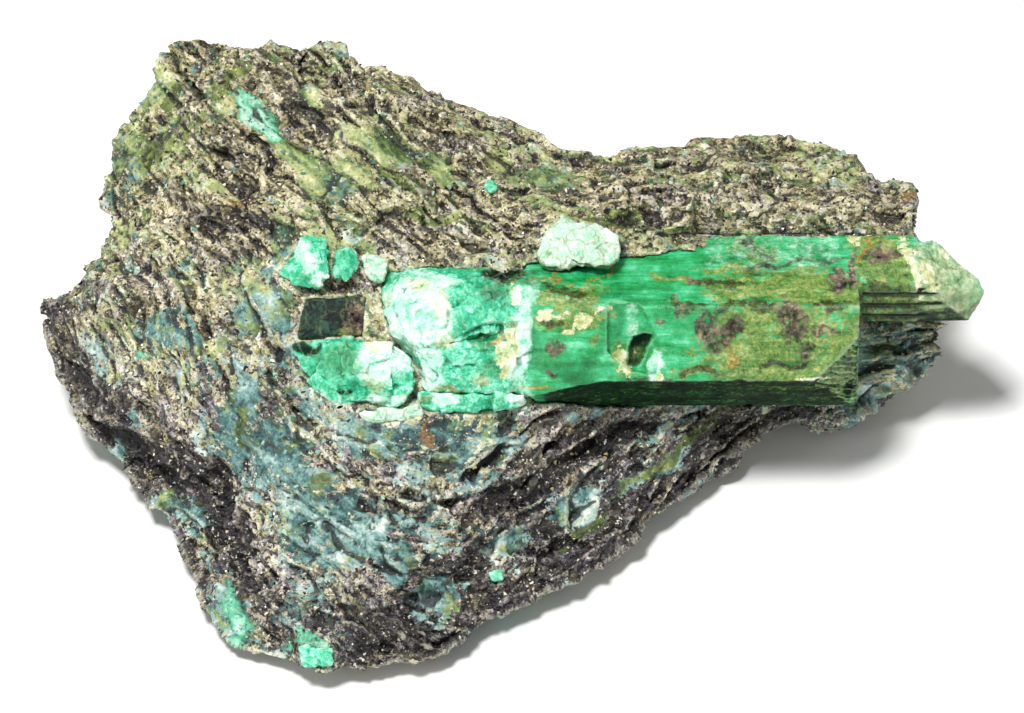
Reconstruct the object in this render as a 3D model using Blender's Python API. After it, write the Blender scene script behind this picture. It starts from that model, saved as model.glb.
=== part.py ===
"""Emerald crystals in a hand-sized piece of mica schist.

The stone is laid out in its own face frame, in millimetres: U runs along the big
crystal, V runs up the broken face, and W stands out of it. FACE then leans that face
back and sets the stone on its flat underside, at z = 0 in the part's frame.
"""

from math import pi, radians

import bmesh
import bpy
from mathutils import Matrix, Vector, noise
from mathutils.geometry import delaunay_2d_cdt

MM = 0.001
FACE_LEAN = radians(40.0)  # from lying flat to the face's slope
FACE_CENTRE = (0.0, -5.0, 18.0)  # where U = V = W = 0 sits in the part's frame
GAP = 0.3  # around each crystal in its socket

# The stone's edge as seen square to the face, clockwise from the west nose.
RIM = [
    (-47.5, 5.6, -12), (-44.4, 7.6, -11), (-41.9, 11.1, -10.5), (-40.9, 14.1, -10.5),
    (-40.4, 18.2, -11), (-39.4, 22.2, -11), (-37.4, 25.2, -11), (-35.9, 28.3, -10),
    (-34.4, 31.8, -8), (-28.3, 32.1, -7), (-24.2, 31.3, -7), (-20.2, 31.3, -7),
    (-16.6, 31, -8), (-14.1, 29.3, -8.5), (-11.1, 28.3, -9), (-7.1, 26.3, -9.5),
    (-1, 24.2, -9), (2, 22.7, -8.5), (4, 20.9, -8), (9.1, 20.9, -8),
    (14.1, 21.4, -8.5), (18.1, 21.7, -9), (22.2, 22.2, -9.5), (29.2, 22, -10),
    (32.3, 21.2, -10), (34.8, 19.7, -9.5), (36.8, 18, -9), (40.3, 17.2, -8.5),
    (41, 12.1, -8), (41.8, 6.6, -9), (43.6, 3, -11), (43.7, 0, -12.5),
    (40.8, -2, -13), (36.3, -4.5, -12.5), (34.3, -5.9, -12), (29.7, -5.9, -12),
    (25.2, -7.7, -11), (22.7, -10.1, -9.5), (19.7, -12.6, -8), (16.6, -14.6, -6.5),
    (13.1, -16.9, -4.5), (10.1, -19.5, -2.5), (6.6, -22.2, 0), (4.2, -22.9, 0.5),
    (0, -25, 2), (-5, -27.5, 4), (-7.1, -29, 5), (-9.1, -29.9, 5.5),
    (-11.6, -30, 5.5), (-13.6, -31.1, 6), (-16.1, -30.4, 6), (-18.6, -31.1, 6.5),
    (-22.2, -30, 5), (-27.8, -28.3, 3), (-30.3, -24.3, 0.5), (-31.3, -21.9, -1.5),
    (-33.4, -17.9, -4.5), (-36.9, -13.6, -7.5), (-40.4, -9.6, -10), (-43.9, -5.6, -12),
    (-46.5, 0, -12.5),
]
# Ridges, creases and shoulders that the broken face bends along.
BREAK_LINES = {
    "arch_crest": [
        (-38.4, 17, -7.5), (-35.6, 20.4, -4.5), (-33.5, 21.5, -4),
        (-31.4, 23, -3.4), (-30, 25.6, -3.5), (-28, 28.8, -4.5), (-26, 30.6, -6),
    ],
    "arch_foot": [(-36.8, 21.6, -8.6), (-33.4, 24, -8.2), (-31.4, 26.2, -8.6), (-31.6, 28.6, -8)],
    "west_peak": [(-34, 29.4, -7.2), (-35.4, 26.6, -8.6), (-37.6, 23, -9.6)],
    "boss_brow": [(-28, 24.6, -2.2), (-24, 27.6, -3.6), (-21.6, 28.8, -5.2)],
    "boss_middle": [(-33, 17, -2.8), (-28.5, 19, -1.2), (-23, 21, -0.8), (-18, 20.5, -0.9)],
    "boss_lip": [
        (-36, 12.8, -3.6), (-31.5, 14.4, -1.5), (-27.4, 15.4, 0.2), (-22.5, 14.5, 1.2),
        (-17.5, 14.4, 1.3), (-12.5, 14.8, 0.9), (-8.6, 15.8, 0.1),
    ],
    "boss_crease": [
        (-32, 12.4, -2.4), (-27.4, 13.8, -1), (-22.8, 12.7, -0.2),
        (-18, 12.6, 0.1), (-12.8, 13, -0.1), (-7.4, 13.6, -0.5),
    ],
    "boss_east": [(-18.2, 25.7, -3.4), (-14.7, 22.6, -2.3), (-11.4, 19.2, -1.2)],
    "east_gully": [
        (-19.6, 29, -8.2), (-16.6, 25.8, -6.6), (-12.7, 22.8, -5.6),
        (-8.5, 19.5, -4.4), (-5.2, 16.7, -3.3), (-2.2, 14.8, -2.2),
    ],
    "north_strip": [
        (-16.4, 28.2, -6.6), (-11.2, 25.2, -5.8), (-6.2, 22.8, -5.2),
        (-1.2, 20.8, -5.2), (3.3, 18.4, -4.8),
    ],
    "wing_back": [(8.8, 18.4, -4.8), (18.8, 19.6, -5.6), (28.6, 19.6, -6.8), (36.4, 15.8, -6.6)],
    "wing_brow": [(8.8, 15.6, -2.2), (18.8, 16, -2.2), (28.8, 16.2, -3.2), (35.4, 14.2, -4.2)],
    "wing_foot": [
        (2.8, 13.2, -0.8), (12.8, 12.9, -0.2), (22.8, 13, -0.4), (33.8, 12.6, -1.6), (39.2, 12.4, -4.4),
    ],
    "west_upper": [
        (-41.5, 5.8, -6.5), (-37.5, 8.6, -4.6), (-34, 9.8, -2.8), (-30, 9.4, -2.6), (-26, 10, -0.4),
    ],
    "west_middle": [
        (-42.4, 1.6, -8), (-38.6, 3.6, -4.4), (-33, 4.4, -0.8), (-27.4, 4.4, -1), (-22.4, 4, 0.2),
    ],
    "wedge_bed": [(-21.5, 3.6, 0.2), (-15, 4, 0.3), (-12.5, 3.4, 1)],
    "west_lower": [(-38.6, -1.4, -5.6), (-33.6, -1.2, -1.4), (-28.6, -1.6, 0.8), (-23.4, -2.4, 0.6)],
    "bench_top": [(-21, 8.6, 0.4), (-15.6, 7.6, 0.4), (-9.6, 9.4, 0.6), (-2.6, 10.4, 0.2)],
    "bench_bottom": [(-20.4, -6.6, 2.2), (-15.4, -7.4, 3.2), (-9, -6.4, 3), (-2, -5.4, 2.4)],
    "trough": [
        (-9, 1.6, -1), (-3, 1.8, -2.6), (6, 2.4, -3.4), (18, 3, -4.4), (28, 3.4, -6.4), (36, 4.2, -8.6),
    ],
    "keel": [
        (4.4, -5, 0.8), (-1.4, -8.8, 2.8), (-8, -13.6, 4.2), (-13, -18.6, 5.4),
        (-16.8, -23.6, 6.6), (-18.6, -28.4, 7),
    ],
    "flank_hollow": [
        (19, -5, -6.4), (10, -7.2, -4.2), (5, -11, -2.2), (1, -15, -0.6),
        (-4.4, -20.6, 1.8), (-9.4, -25.4, 3.6),
    ],
    "flank_shelf": [
        (31, -3.2, -10.4), (24.6, -5.4, -9.6), (18.6, -8.8, -7.4), (12.8, -13.2, -4.2),
        (6.8, -18, -1.2), (1, -22.4, 1), (-5.2, -25.6, 3.2),
    ],
    "shelf_end": [(36, 0.6, -9.8), (40.2, 1.6, -10.4), (38.4, -1.6, -11.6)],
    "face_west": [(-25.8, -7, 1), (-23.8, -12.4, 2.4), (-22.4, -19, 3.2), (-22, -25.6, 4.8)],
    "face_middle": [(-18.4, -11.6, 3), (-16.6, -15.6, 3.4), (-17.6, -20, 4.6)],
    "gully_shoulder": [
        (-40.4, -3, -7.4), (-36.4, -7.4, -5.2), (-32, -10, -2.2), (-27.4, -12, -0.2),
        (-25.6, -16.4, 1), (-25.2, -21.6, 2),
    ],
    "gully": [
        (-41.2, -5.4, -10.2), (-37.8, -9.8, -8.8), (-32.6, -12.6, -6), (-28.8, -14.4, -3.6),
        (-27.6, -18.4, -1.8), (-26.8, -22, 0.2),
    ],
    "west_lobe": [
        (-34.4, -13.6, -6), (-31.2, -16, -3), (-29.4, -20.2, -0.8), (-28, -24.6, 1.8), (-25.6, -27.4, 3.6),
    ],
}
# Where the stone rests, in the part's own X and Y.
SOLE = [
    (-19, -28.5), (-9, -26.5), (3, -18.5), (14, -9), (24, 1.5), (36, 7), (39.5, 14),
    (36, 25), (20, 30), (2, 31), (-14, 35), (-30, 34), (-38, 24), (-42, 10), (-37, -2),
    (-29, -15), (-24, -24.5),
]
# Bulges of the hidden back, in the part's own X, Y and Z.
BACK_BULGES = [
    (-31, 33, 17), (-20, 34, 17), (-8, 30, 14), (6, 25, 11), (17, 26, 12), (28, 25, 11),
    (35.5, 18, 12), (-39, 18, 10), (-42, 9, 6),
]
BAND_DEPTH = 2.2  # of the broken edge between the face and the back
BAND_TAPER = 0.975
EDGE_LENGTH = 2.3  # of the finished relief's triangles
# The schist's layers run along U and rise a little to the east: long that way, thin across.
FOLIATION = Matrix.Diagonal((1 / 16, 1 / 2.6, 1 / 5)) @ Matrix.Rotation(radians(-24.0), 3, "Z")

# The crystal: two hexagonal columns grown side by side along U.
COLUMN_TURN = radians(-11.0)  # the broad faces look a little down
FRONT_COLUMN = {"side": 7.5, "start": 8.4, "end": 34.3, "v": 2.45, "w": -3.0, "swing": 0.0}
REAR_COLUMN = {"side": 5.0, "start": 13.5, "end": 40.4, "v": 7.2, "w": -4.6, "swing": radians(2.6)}
# Its broken ends, as the corners of what is left of the prism there.
CRYSTAL_ENDS = {
    "west_block": [
        (0.6, 6.9, 4.4), (9.6, 5.0, 3.9), (9.8, -2.3, 2.7), (1.8, -3.9, 3.4), (-1.0, 3.4, 3.4),
        (0.2, -1.6, 3.2), (3.0, -4.9, -1.0), (9.8, -4.9, -4.2), (1.5, 9.2, -1.6), (9.8, 9.6, -1.6),
        (0.5, 6.0, -8.0), (9.8, 6.0, -8.5), (1.0, -2.0, -8.0), (9.8, -2.0, -8.5),
    ],
    "core_crown": [
        (-12.6, 8.3, -0.8), (-7.8, 8.9, 0.4), (-3.2, 8.7, 0.9), (1.0, 7.6, 2.2), (1.2, 4.4, 3.6),
        (-4.4, 2.8, 4.9), (-8.6, 0.8, 4.7), (-12.0, 2.6, 2.6), (-13.0, 5.6, 1.4), (-9.0, 6.4, 3.7),
        (-4.2, 6.6, 3.9), (-11.0, 7.0, -7.0), (1.4, 7.0, -7.0), (1.4, 1.0, -7.0), (-11.0, 1.0, -7.0),
    ],
    "core_foot": [
        (-9.5, 0.4, 3.4), (-6.0, 1.2, 4.5), (1.0, 1.4, 3.6), (1.6, -3.3, 2.9), (-1.4, -3.4, 3.0),
        (-8.4, -3.3, 2.9), (-5.0, -1.8, 4.4), (-8.6, -2.8, -6.0), (1.6, -2.8, -6.0),
        (1.6, 1.0, -6.0), (-8.6, 1.0, -6.0),
    ],
    "east_tip": [
        (38.8, 11.9, -3.4), (41.8, 11.5, -3.2), (43.2, 10.3, -2.8), (44.4, 9.3, -2.4), (46.8, 7.3, -2.4),
        (47.2, 6.4, -2.6), (46.7, 5.4, -3.0), (45.6, 3.6, -3.6), (38.8, 3.5, -2.6), (38.8, 8.6, 0.9),
        (40.4, 8.2, 0.5), (41.6, 6.4, 0.1), (38.8, 3.6, -7.0), (45.0, 4.2, -6.4), (44.0, 9.0, -7.0),
        (38.8, 11.0, -7.2),
    ],
}
# Bites out of the columns: the notch in the broad face and the corner broken off its east end.
CRYSTAL_BITES = {
    "face_notch": [
        (9.4, 5.6, 3.4), (12.4, 5.2, 3.6), (12.2, 0.6, 2.6), (14.6, 1.4, 3.2), (14.2, -1.9, 2.2),
        (12.4, -1.4, 0.8), (9.4, 0.6, 2.0), (9.2, 6.2, 9.0), (15.4, 5.8, 9.0), (14.9, -2.0, 9.0),
        (9.2, -1.0, 9.0),
    ],
    "east_corner": [
        (32.0, -5.6, 0.8), (35.2, -1.4, 2.0), (35.2, -5.6, -6.0), (35.2, -1.2, 7.0), (33.4, -6.0, 7.0),
        (35.2, -7.0, 7.0),
    ],
}
# Growth steps under the rear column's east half: each tread's V, and the W it is cut back to.
TERRACES = {
    "start": 34.6, "end": 50.0, "bottom": 0.0,
    "treads": [(6.3, -0.7), (5.3, -1.6), (4.2, -2.5), (3.5, -12.0)],
}

# Beryl broken off in the schist, each piece by the corners that stand out of it.
BROKEN_BERYL = {
    "emerald_lower_wedge": [
        (-22.0, 1.3, 1.4), (-15.6, 1.6, 2.2), (-12.0, 1.2, 3.2), (-9.9, -0.2, 3.4), (-9.9, -3.2, 3.4),
        (-11.5, -4.6, 3.2), (-16.0, -4.6, 3.2), (-19.8, -3.4, 2.4), (-15.0, -1.4, 4.2),
    ],
    "emerald_lower_band": [
        (-9.0, -3.8, 3.5), (1.2, -4.0, 2.7), (1.6, -4.7, 2.0), (-3.0, -5.4, 2.7), (-8.4, -5.2, 3.2),
    ],
    "pale_rim_slab": [
        (-15.2, -5.6, 3.5), (-9.4, -4.9, 3.7), (-8.9, -5.8, 3.2), (-11.0, -6.3, 3.3), (-14.8, -6.2, 3.1),
    ],
    "dark_beryl": [
        (-20.4, 5.6, 0.9), (-14.6, 5.9, 1.0), (-15.0, 2.3, 1.5), (-21.1, 1.9, 1.1),
    ],
    "emerald_chip_west": [
        (-23.0, 8.1, 0.5), (-20.6, 11.8, 0.7), (-18.5, 11.3, 1.1), (-18.4, 8.1, 1.9), (-19.2, 6.6, 1.6),
        (-21.4, 7.0, 1.6), (-20.4, 9.4, 2.5),
    ],
    "emerald_chip_east": [
        (-17.9, 8.2, 1.3), (-17.4, 10.3, 1.5), (-16.0, 10.5, 1.3), (-15.6, 8.6, 1.1), (-16.6, 7.7, 1.5),
        (-16.8, 9.2, 2.1),
    ],
    "pale_beryl_chip": [
        (-14.9, 9.6, 1.0), (-13.6, 10.1, 1.1), (-12.4, 9.2, 1.5), (-12.9, 7.4, 1.3), (-14.2, 7.8, 1.4),
    ],
    "pale_beryl_block": [
        (5.1, 13.4, 0.6), (8.8, 12.9, 0.6), (10.4, 11.7, 0.8), (10.7, 9.6, 1.5), (9.8, 8.9, 1.8),
        (3.5, 9.1, 1.7), (2.6, 9.9, 1.3), (3.4, 12.2, 0.8), (6.8, 11.2, 2.1),
    ],
    "emerald_foot_chip": [
        (-21.0, -28.6, 6.6), (-17.8, -28.8, 7.6), (-17.4, -30.4, 7.4), (-20.4, -30.6, 6.8),
    ],
    "emerald_bead_north": [(-2.7, 17.3, -2.5), (-2.0, 17.7, -2.6), (-1.5, 17.0, -2.2), (-2.2, 16.6, -2.1)],
    "emerald_bead_south": [(-2.2, -21.7, 2.4), (-1.2, -21.3, 2.0), (-0.9, -22.1, 2.0), (-1.8, -22.5, 2.2)],
}
BERYL_TAPER = 0.75  # of the part of each that is inside the stone
BERYL_DEPTH = 2.6  # of that part, or less where the piece or the stone is small:
SHALLOW_BERYL = {
    "emerald_foot_chip": 1.0, "emerald_bead_north": 1.0, "emerald_bead_south": 1.0, "pale_rim_slab": 1.6,
}


def face_matrix():
    """From the face frame to the part's frame, both in millimetres."""
    return Matrix.Translation(FACE_CENTRE) @ Matrix.Rotation(FACE_LEAN, 4, "X")


def to_face(x, y, z):
    return tuple(face_matrix().inverted() @ Vector((x, y, z)))


def clear_scene():
    for obj in list(bpy.data.objects):
        bpy.data.objects.remove(obj)


def new_collection(name):
    collection = bpy.data.collections.new(name)
    bpy.context.scene.collection.children.link(collection)
    return collection


def new_material(name, colour, roughness):
    made = bpy.data.materials.new(name)
    made.use_nodes = True
    shader = made.node_tree.nodes["Principled BSDF"]
    shader.inputs["Base Color"].default_value = (*colour, 1.0)
    shader.inputs["Roughness"].default_value = roughness
    shader.inputs["Metallic"].default_value = 0.0
    return made


def new_object(name, bm, collection, finish=None):
    """An object in the part's frame, in metres, from a mesh in the face frame."""
    bm.transform(Matrix.Scale(MM, 4) @ face_matrix())
    mesh = bpy.data.meshes.new(name)
    bm.to_mesh(mesh)
    bm.free()
    obj = bpy.data.objects.new(name, mesh)
    collection.objects.link(obj)
    if finish:
        mesh.materials.append(finish)
    return obj


def boolean(obj, operation, other):
    modifier = obj.modifiers.new(f"{operation.lower()} {other.name}", "BOOLEAN")
    modifier.solver = "EXACT"
    modifier.operation = operation
    modifier.object = other


# --- the schist ------------------------------------------------------------------


def triangulated(points, edges):
    """Triangles between points given by U and V, held to the edges and kept inside them."""
    flat = [Vector((u, v)) for u, v, _ in points]
    verts, _, faces, origins, _, _ = delaunay_2d_cdt(flat, edges, [], 1, 1e-4)
    if len(verts) != len(points):
        raise ValueError("two relief lines cross")
    return [[origins[i][0] for i in face] for face in faces]


def chain(first, count, closed=False):
    links = [(first + i, first + i + 1) for i in range(count - 1)]
    return links + [(first + count - 1, first)] if closed else links


def sheet(bm, rim, rim_points, lines, flip):
    """One side of the stone: triangles from its edge through the lines inside it."""
    points, edges = list(rim_points), chain(0, len(rim_points), closed=True)
    for line, closed in lines:
        edges += chain(len(points), len(line), closed)
        points += line
    verts = rim + [bm.verts.new(p) for p in points[len(rim):]]
    for face in triangulated(points, edges):
        bm.faces.new([verts[i] for i in (reversed(face) if flip else face)])


def band_point(point):
    """Where the back starts below a point of the face's edge."""
    u, v, w = point
    low = (face_matrix() @ Vector(point)).z - 0.9
    return u * BAND_TAPER, v * BAND_TAPER, w - min(BAND_DEPTH, low)


def rough_stone():
    """A closed mesh of the stone's main forms: the face, the edge band and the back."""
    bm = bmesh.new()
    edge = bm.verts.layers.float.new("edge")
    rim = [bm.verts.new(p) for p in RIM]
    back_side = bm.faces.layers.int.new("back side")
    for vert in rim:
        vert[edge] = 1.0
    sheet(bm, rim, RIM, [(line, False) for line in BREAK_LINES.values()], flip=False)

    back_points = [band_point(p) for p in RIM]
    back_rim = [bm.verts.new(p) for p in back_points]
    sole = [to_face(x, y, 0.0) for x, y in SOLE]
    bulges = [([to_face(*p)], False) for p in BACK_BULGES]
    front_count = len(bm.faces)
    sheet(bm, back_rim, back_points, [(sole, True), *bulges], flip=True)
    bm.faces.ensure_lookup_table()
    for face in bm.faces[front_count:]:
        face[back_side] = 1

    for i, here in enumerate(rim):
        after = (i + 1) % len(rim)
        bm.faces.new([here, rim[after], back_rim[after], back_rim[i]])
    bmesh.ops.triangulate(bm, faces=bm.faces)
    bmesh.ops.recalc_face_normals(bm, faces=bm.faces)
    return bm


def height(vert):
    """Above the surface the stone rests on."""
    return (face_matrix() @ vert.co).z


def on_sole(face):
    return all(height(v) < 1e-3 for v in face.verts)


def even_out_back(bm):
    """Turns the back's long thin triangles into evener ones, above the sole."""
    back_side = bm.faces.layers.int["back side"]
    faces = [f for f in bm.faces if f[back_side] and not on_sole(f)]
    chosen = set(faces)
    edges = [e for f in faces for e in f.edges if all(link in chosen for link in e.link_faces)]
    bmesh.ops.beautify_fill(bm, faces=faces, edges=list(dict.fromkeys(edges)), method="ANGLE")


def divide_long_edges(bm, length):
    """Halves long edges until none is left, except on the sole, which stays flat."""
    for _ in range(6):
        even_out_back(bm)
        long = [
            e for e in bm.edges
            if e.calc_length() > length * 1.35 and not all(on_sole(f) for f in e.link_faces)
        ]
        if not long:
            return
        bmesh.ops.subdivide_edges(bm, edges=long, cuts=1)
        bmesh.ops.triangulate(bm, faces=bm.faces, quad_method="BEAUTY", ngon_method="BEAUTY")


# Blender seeds noise_vector from the clock. Without a fixed seed the stone breaks another way each
# run, and in some runs it falls into separate bodies.
STONE_SEED = 1795465699


def chips(point, size):
    """Flat chips about that size: each cell of the stone tilts its own way."""
    cell = noise.voronoi(point / size)[1][0]
    return noise.noise_vector(cell * 3.7).dot(point / size - cell)


def relief(point):
    """How far the broken surface stands out or in at a point, in millimetres."""
    lumps = noise.fractal(point / 9.0, 1.0, 2.0, 3)
    layers = noise.noise(FOLIATION @ point)
    return 2.6 * chips(point, 8.5) + 1.8 * chips(point, 4.0) + 0.6 * lumps + 0.9 * layers


def weather(bm):
    """Breaks the plain forms into lumps, ledges and pits, and leaves the sole flat."""
    noise.seed_set(STONE_SEED)
    free = [v for v in bm.verts if height(v) > 1e-3]
    edge = bm.verts.layers.float["edge"]
    bm.normal_update()
    moves = []
    for vert in free:
        share = min(1.0, height(vert) / 4.0) * (1.0 - 0.7 * vert[edge])
        moves.append((vert, vert.normal * relief(vert.co) * share))
    up = face_matrix().inverted().to_3x3() @ Vector((0.0, 0.0, 1.0))
    for vert, move in moves:
        vert.co += move
        vert.co += up * max(0.0, 0.35 - height(vert))


# --- the crystals ----------------------------------------------------------------


def hexagon_column(side, start, end, v, w, swing):
    """A six-sided column along U, with one broad face towards W."""
    bm = bmesh.new()
    bmesh.ops.create_cone(
        bm, cap_ends=True, segments=6, radius1=side, radius2=side, depth=end - start,
        matrix=Matrix.Translation(((start + end) / 2, v, w))
        @ Matrix.Rotation(-swing, 4, "Y")
        @ Matrix.Rotation(-COLUMN_TURN, 4, "X")
        @ Matrix.Rotation(pi / 2, 4, "Y"),
    )
    return bm


def hull(points):
    """The convex solid with these corners."""
    bm = bmesh.new()
    for point in points:
        bm.verts.new(point)
    bmesh.ops.convex_hull(bm, input=bm.verts)
    bmesh.ops.delete(bm, geom=[v for v in bm.verts if not v.link_faces], context="VERTS")
    bmesh.ops.recalc_face_normals(bm, faces=bm.faces)
    return bm


def rooted(points, depth):
    """The corners that show, and the same drawn in and down for the part inside the stone."""
    count = len(points)
    mid_u = sum(p[0] for p in points) / count
    mid_v = sum(p[1] for p in points) / count
    low = min(p[2] for p in points) - depth
    return points + [
        (mid_u + (u - mid_u) * BERYL_TAPER, mid_v + (v - mid_v) * BERYL_TAPER, low) for u, v, _ in points
    ]


def grown(bm, by):
    """The same convex solid with every face moved out."""
    bm = bm.copy()
    bm.normal_update()
    for vert, move in [(v, v.normal * v.calc_shell_factor() * by) for v in bm.verts]:
        vert.co += move
    return bm


def terrace_cuts():
    """Boxes that leave the rear column's underside in steps."""
    cuts = []
    for top, back in TERRACES["treads"]:
        box = [
            (u, v, w)
            for u in (TERRACES["start"], TERRACES["end"])
            for v in (top, TERRACES["bottom"])
            for w in (back, 8.0)
        ]
        cuts.append(hull(box))
    return cuts


def build():
    clear_scene()
    parts = new_collection("emerald in matrix")
    cutters = new_collection("cutters")
    schist = new_material("biotite schist", (0.16, 0.17, 0.14), 0.75)
    emerald = new_material("emerald", (0.06, 0.55, 0.32), 0.35)
    pale_beryl = new_material("pale beryl", (0.55, 0.75, 0.6), 0.45)
    dark_beryl = new_material("dark beryl", (0.02, 0.08, 0.05), 0.3)

    stone_mesh = rough_stone()
    divide_long_edges(stone_mesh, EDGE_LENGTH)
    weather(stone_mesh)
    stone = new_object("schist_matrix", stone_mesh, parts, schist)
    sockets = []

    def cutter(name, bm):
        made = new_object(name, bm, cutters)
        made.hide_render = True
        made.display_type = "WIRE"
        return made

    front = hexagon_column(**FRONT_COLUMN)
    shapes = {"rear_column": hexagon_column(**REAR_COLUMN)}
    shapes.update({name: hull(points) for name, points in CRYSTAL_ENDS.items()})
    for name, shape in [("front_column", front), *shapes.items()]:
        sockets.append(cutter(f"{name}_socket", grown(shape, GAP)))
    crystal = new_object("emerald_crystal", front, parts, emerald)
    for name, shape in shapes.items():
        boolean(crystal, "UNION", cutter(name, shape))
    for name, points in CRYSTAL_BITES.items():
        boolean(crystal, "DIFFERENCE", cutter(name, hull(points)))
    for i, shape in enumerate(terrace_cuts()):
        boolean(crystal, "DIFFERENCE", cutter(f"terrace_{i + 1}", shape))

    for name, points in BROKEN_BERYL.items():
        finish = {"dark": dark_beryl, "pale": pale_beryl}.get(name.split("_")[0], emerald)
        shape = hull(rooted(points, SHALLOW_BERYL.get(name, BERYL_DEPTH)))
        socket = cutter(f"{name}_socket", grown(shape, GAP))
        piece = new_object(name, shape, parts, finish)
        for neighbour in sockets:
            boolean(piece, "DIFFERENCE", neighbour)
        sockets.append(socket)
    for socket in sockets:
        boolean(stone, "DIFFERENCE", socket)


build()
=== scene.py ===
import itertools
import math

import bmesh
import bpy
import numpy as np
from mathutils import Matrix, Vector
from mathutils.kdtree import KDTree


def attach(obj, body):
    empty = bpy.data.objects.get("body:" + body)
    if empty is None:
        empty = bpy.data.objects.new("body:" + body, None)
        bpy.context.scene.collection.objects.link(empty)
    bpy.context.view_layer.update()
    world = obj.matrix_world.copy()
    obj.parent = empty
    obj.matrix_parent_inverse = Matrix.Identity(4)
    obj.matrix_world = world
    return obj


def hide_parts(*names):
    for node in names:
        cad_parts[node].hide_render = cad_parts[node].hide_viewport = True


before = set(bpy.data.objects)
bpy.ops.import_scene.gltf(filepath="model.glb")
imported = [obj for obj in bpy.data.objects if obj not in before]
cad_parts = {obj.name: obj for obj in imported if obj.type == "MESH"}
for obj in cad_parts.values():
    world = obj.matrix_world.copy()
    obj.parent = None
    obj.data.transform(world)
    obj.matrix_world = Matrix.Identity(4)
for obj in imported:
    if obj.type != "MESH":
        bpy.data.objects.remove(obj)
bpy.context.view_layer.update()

mm = 0.001

# The broken face leans back on the stone's flat underside. Places on it are given in
# millimetres: u along the big crystal, v up the face, w out of it.
face = {"lean": math.radians(40.0), "centre": (0.0, -5.0, 18.0)}


def faceAxes():
    lean = face["lean"]
    return np.array([
        (1.0, 0.0, 0.0),
        (0.0, math.cos(lean), math.sin(lean)),
        (0.0, -math.sin(lean), math.cos(lean)),
    ])


def toFace(points):  # metres in the row's frame to u, v, w in millimetres
    return (points / mm - np.array(face["centre"])) @ faceAxes().T


def linear(hexColour):
    levels = [int(hexColour[i:i + 2], 16) / 255.0 for i in (1, 3, 5)]
    return tuple(c / 12.92 if c <= 0.04045 else ((c + 0.055) / 1.055) ** 2.4 for c in levels) + (1.0,)


def addNode(tree, kind, settings={}, inputs={}):  # "stops" are a ramp's, and a "#..." input is a colour
    made = tree.nodes.new(kind)
    for name, value in settings.items():
        if name == "stops":
            ramp = made.color_ramp
            while len(ramp.elements) < len(value):
                ramp.elements.new(1.0)
            for element, (place, colour) in zip(ramp.elements, value):
                element.position = place
                element.color = linear(colour)
        else:
            setattr(made, name, value)
    for name, value in inputs.items():
        if isinstance(value, bpy.types.Node):
            value = value.outputs[0]
        if isinstance(value, bpy.types.NodeSocket):
            tree.links.new(value, made.inputs[name])
        elif isinstance(value, str) and value.startswith("#"):
            made.inputs[name].default_value = linear(value)
        else:
            made.inputs[name].default_value = value
    return made


def newMaterial(name):
    made = bpy.data.materials.new(name)
    made.use_nodes = True
    made.node_tree.nodes.clear()
    return made, made.node_tree


def weigh(tree, terms, more=0.0):  # the sum of each value times its weight, and more
    for value, weight in terms:
        more = addNode(tree, "ShaderNodeMath", {"operation": "MULTIPLY_ADD"}, {0: value, 1: weight, 2: more})
    return more


def layOver(tree, under, over, share, low, high, most=1.0):  # over shows from share low, in full from high
    reach = addNode(tree, "ShaderNodeMapRange", {"interpolation_type": "SMOOTHSTEP"}, {
        "Value": share, "From Min": low, "From Max": high, "To Max": most})
    return addNode(tree, "ShaderNodeMixRGB", {}, {"Fac": reach, "Color1": under, "Color2": over})


def bentBy(tree, vector, bend, amount):  # places shifted by the colours of a noise
    return addNode(tree, "ShaderNodeVectorMath", {"operation": "MULTIPLY_ADD"}, {
        0: bend.outputs["Color"], 1: (amount, amount, amount), 2: vector})


def millimetres(tree):  # a place on the object, in millimetres
    coords = addNode(tree, "ShaderNodeTexCoord")
    return addNode(tree, "ShaderNodeVectorMath", {"operation": "SCALE"}, {
        0: coords.outputs["Object"], "Scale": 1.0 / mm}).outputs[0]


def hashed(cells, salt):  # one number from 0 to 1 for each whole-numbered cell
    x, y, z = (cells[..., i].astype(np.int64) for i in range(3))
    h = (x * 374761393 + y * 668265263 + z * 2147483647 + salt * 1274126177) & 0xFFFFFFFF
    h = ((h ^ (h >> 13)) * 1274126177) & 0xFFFFFFFF
    h = ((h ^ (h >> 16)) * 2246822519) & 0xFFFFFFFF
    return ((h ^ (h >> 15)) & 0xFFFFFF) / float(0xFFFFFF)


def smoothNoise(points, size, salt, octaves=1):  # from -1 to 1
    total, weight, share = 0.0, 0.0, 1.0
    for octave in range(octaves):
        scaled = points / (size / 2.0 ** octave) + 17.3 * octave
        cell = np.floor(scaled)
        t = scaled - cell
        t = t * t * (3.0 - 2.0 * t)
        value = 0.0
        for corner in range(8):
            offset = np.array([corner & 1, corner >> 1 & 1, corner >> 2 & 1])
            near = np.where(offset, t, 1.0 - t).prod(axis=1)
            value = value + near * hashed(cell + offset, salt + octave)
        total = total + share * (2.0 * value - 1.0)
        weight += share
        share *= 0.5
    return total / weight


def noiseVector(points, size, salt, octaves=1):
    return np.stack([smoothNoise(points, size, salt + 100 * i, octaves) for i in range(3)], axis=1)


def nearCells(points, size, salt):
    # The 27 cells around each point: how far the point is from each one's middle, in cells,
    # and how high the cell's own tilted plane is there.
    scaled = points / size
    base = np.floor(scaled)
    for step in itertools.product((-1, 0, 1), repeat=3):
        cell = base + np.array(step)
        middle = cell + 0.1 + 0.8 * np.stack([hashed(cell, salt + i) for i in range(3)], axis=1)
        away = scaled - middle
        slope = np.stack([hashed(cell, salt + 3 + i) for i in range(3)], axis=1) * 2.0 - 1.0
        yield cell, (away ** 2).sum(axis=1), (slope * away).sum(axis=1)


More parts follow.
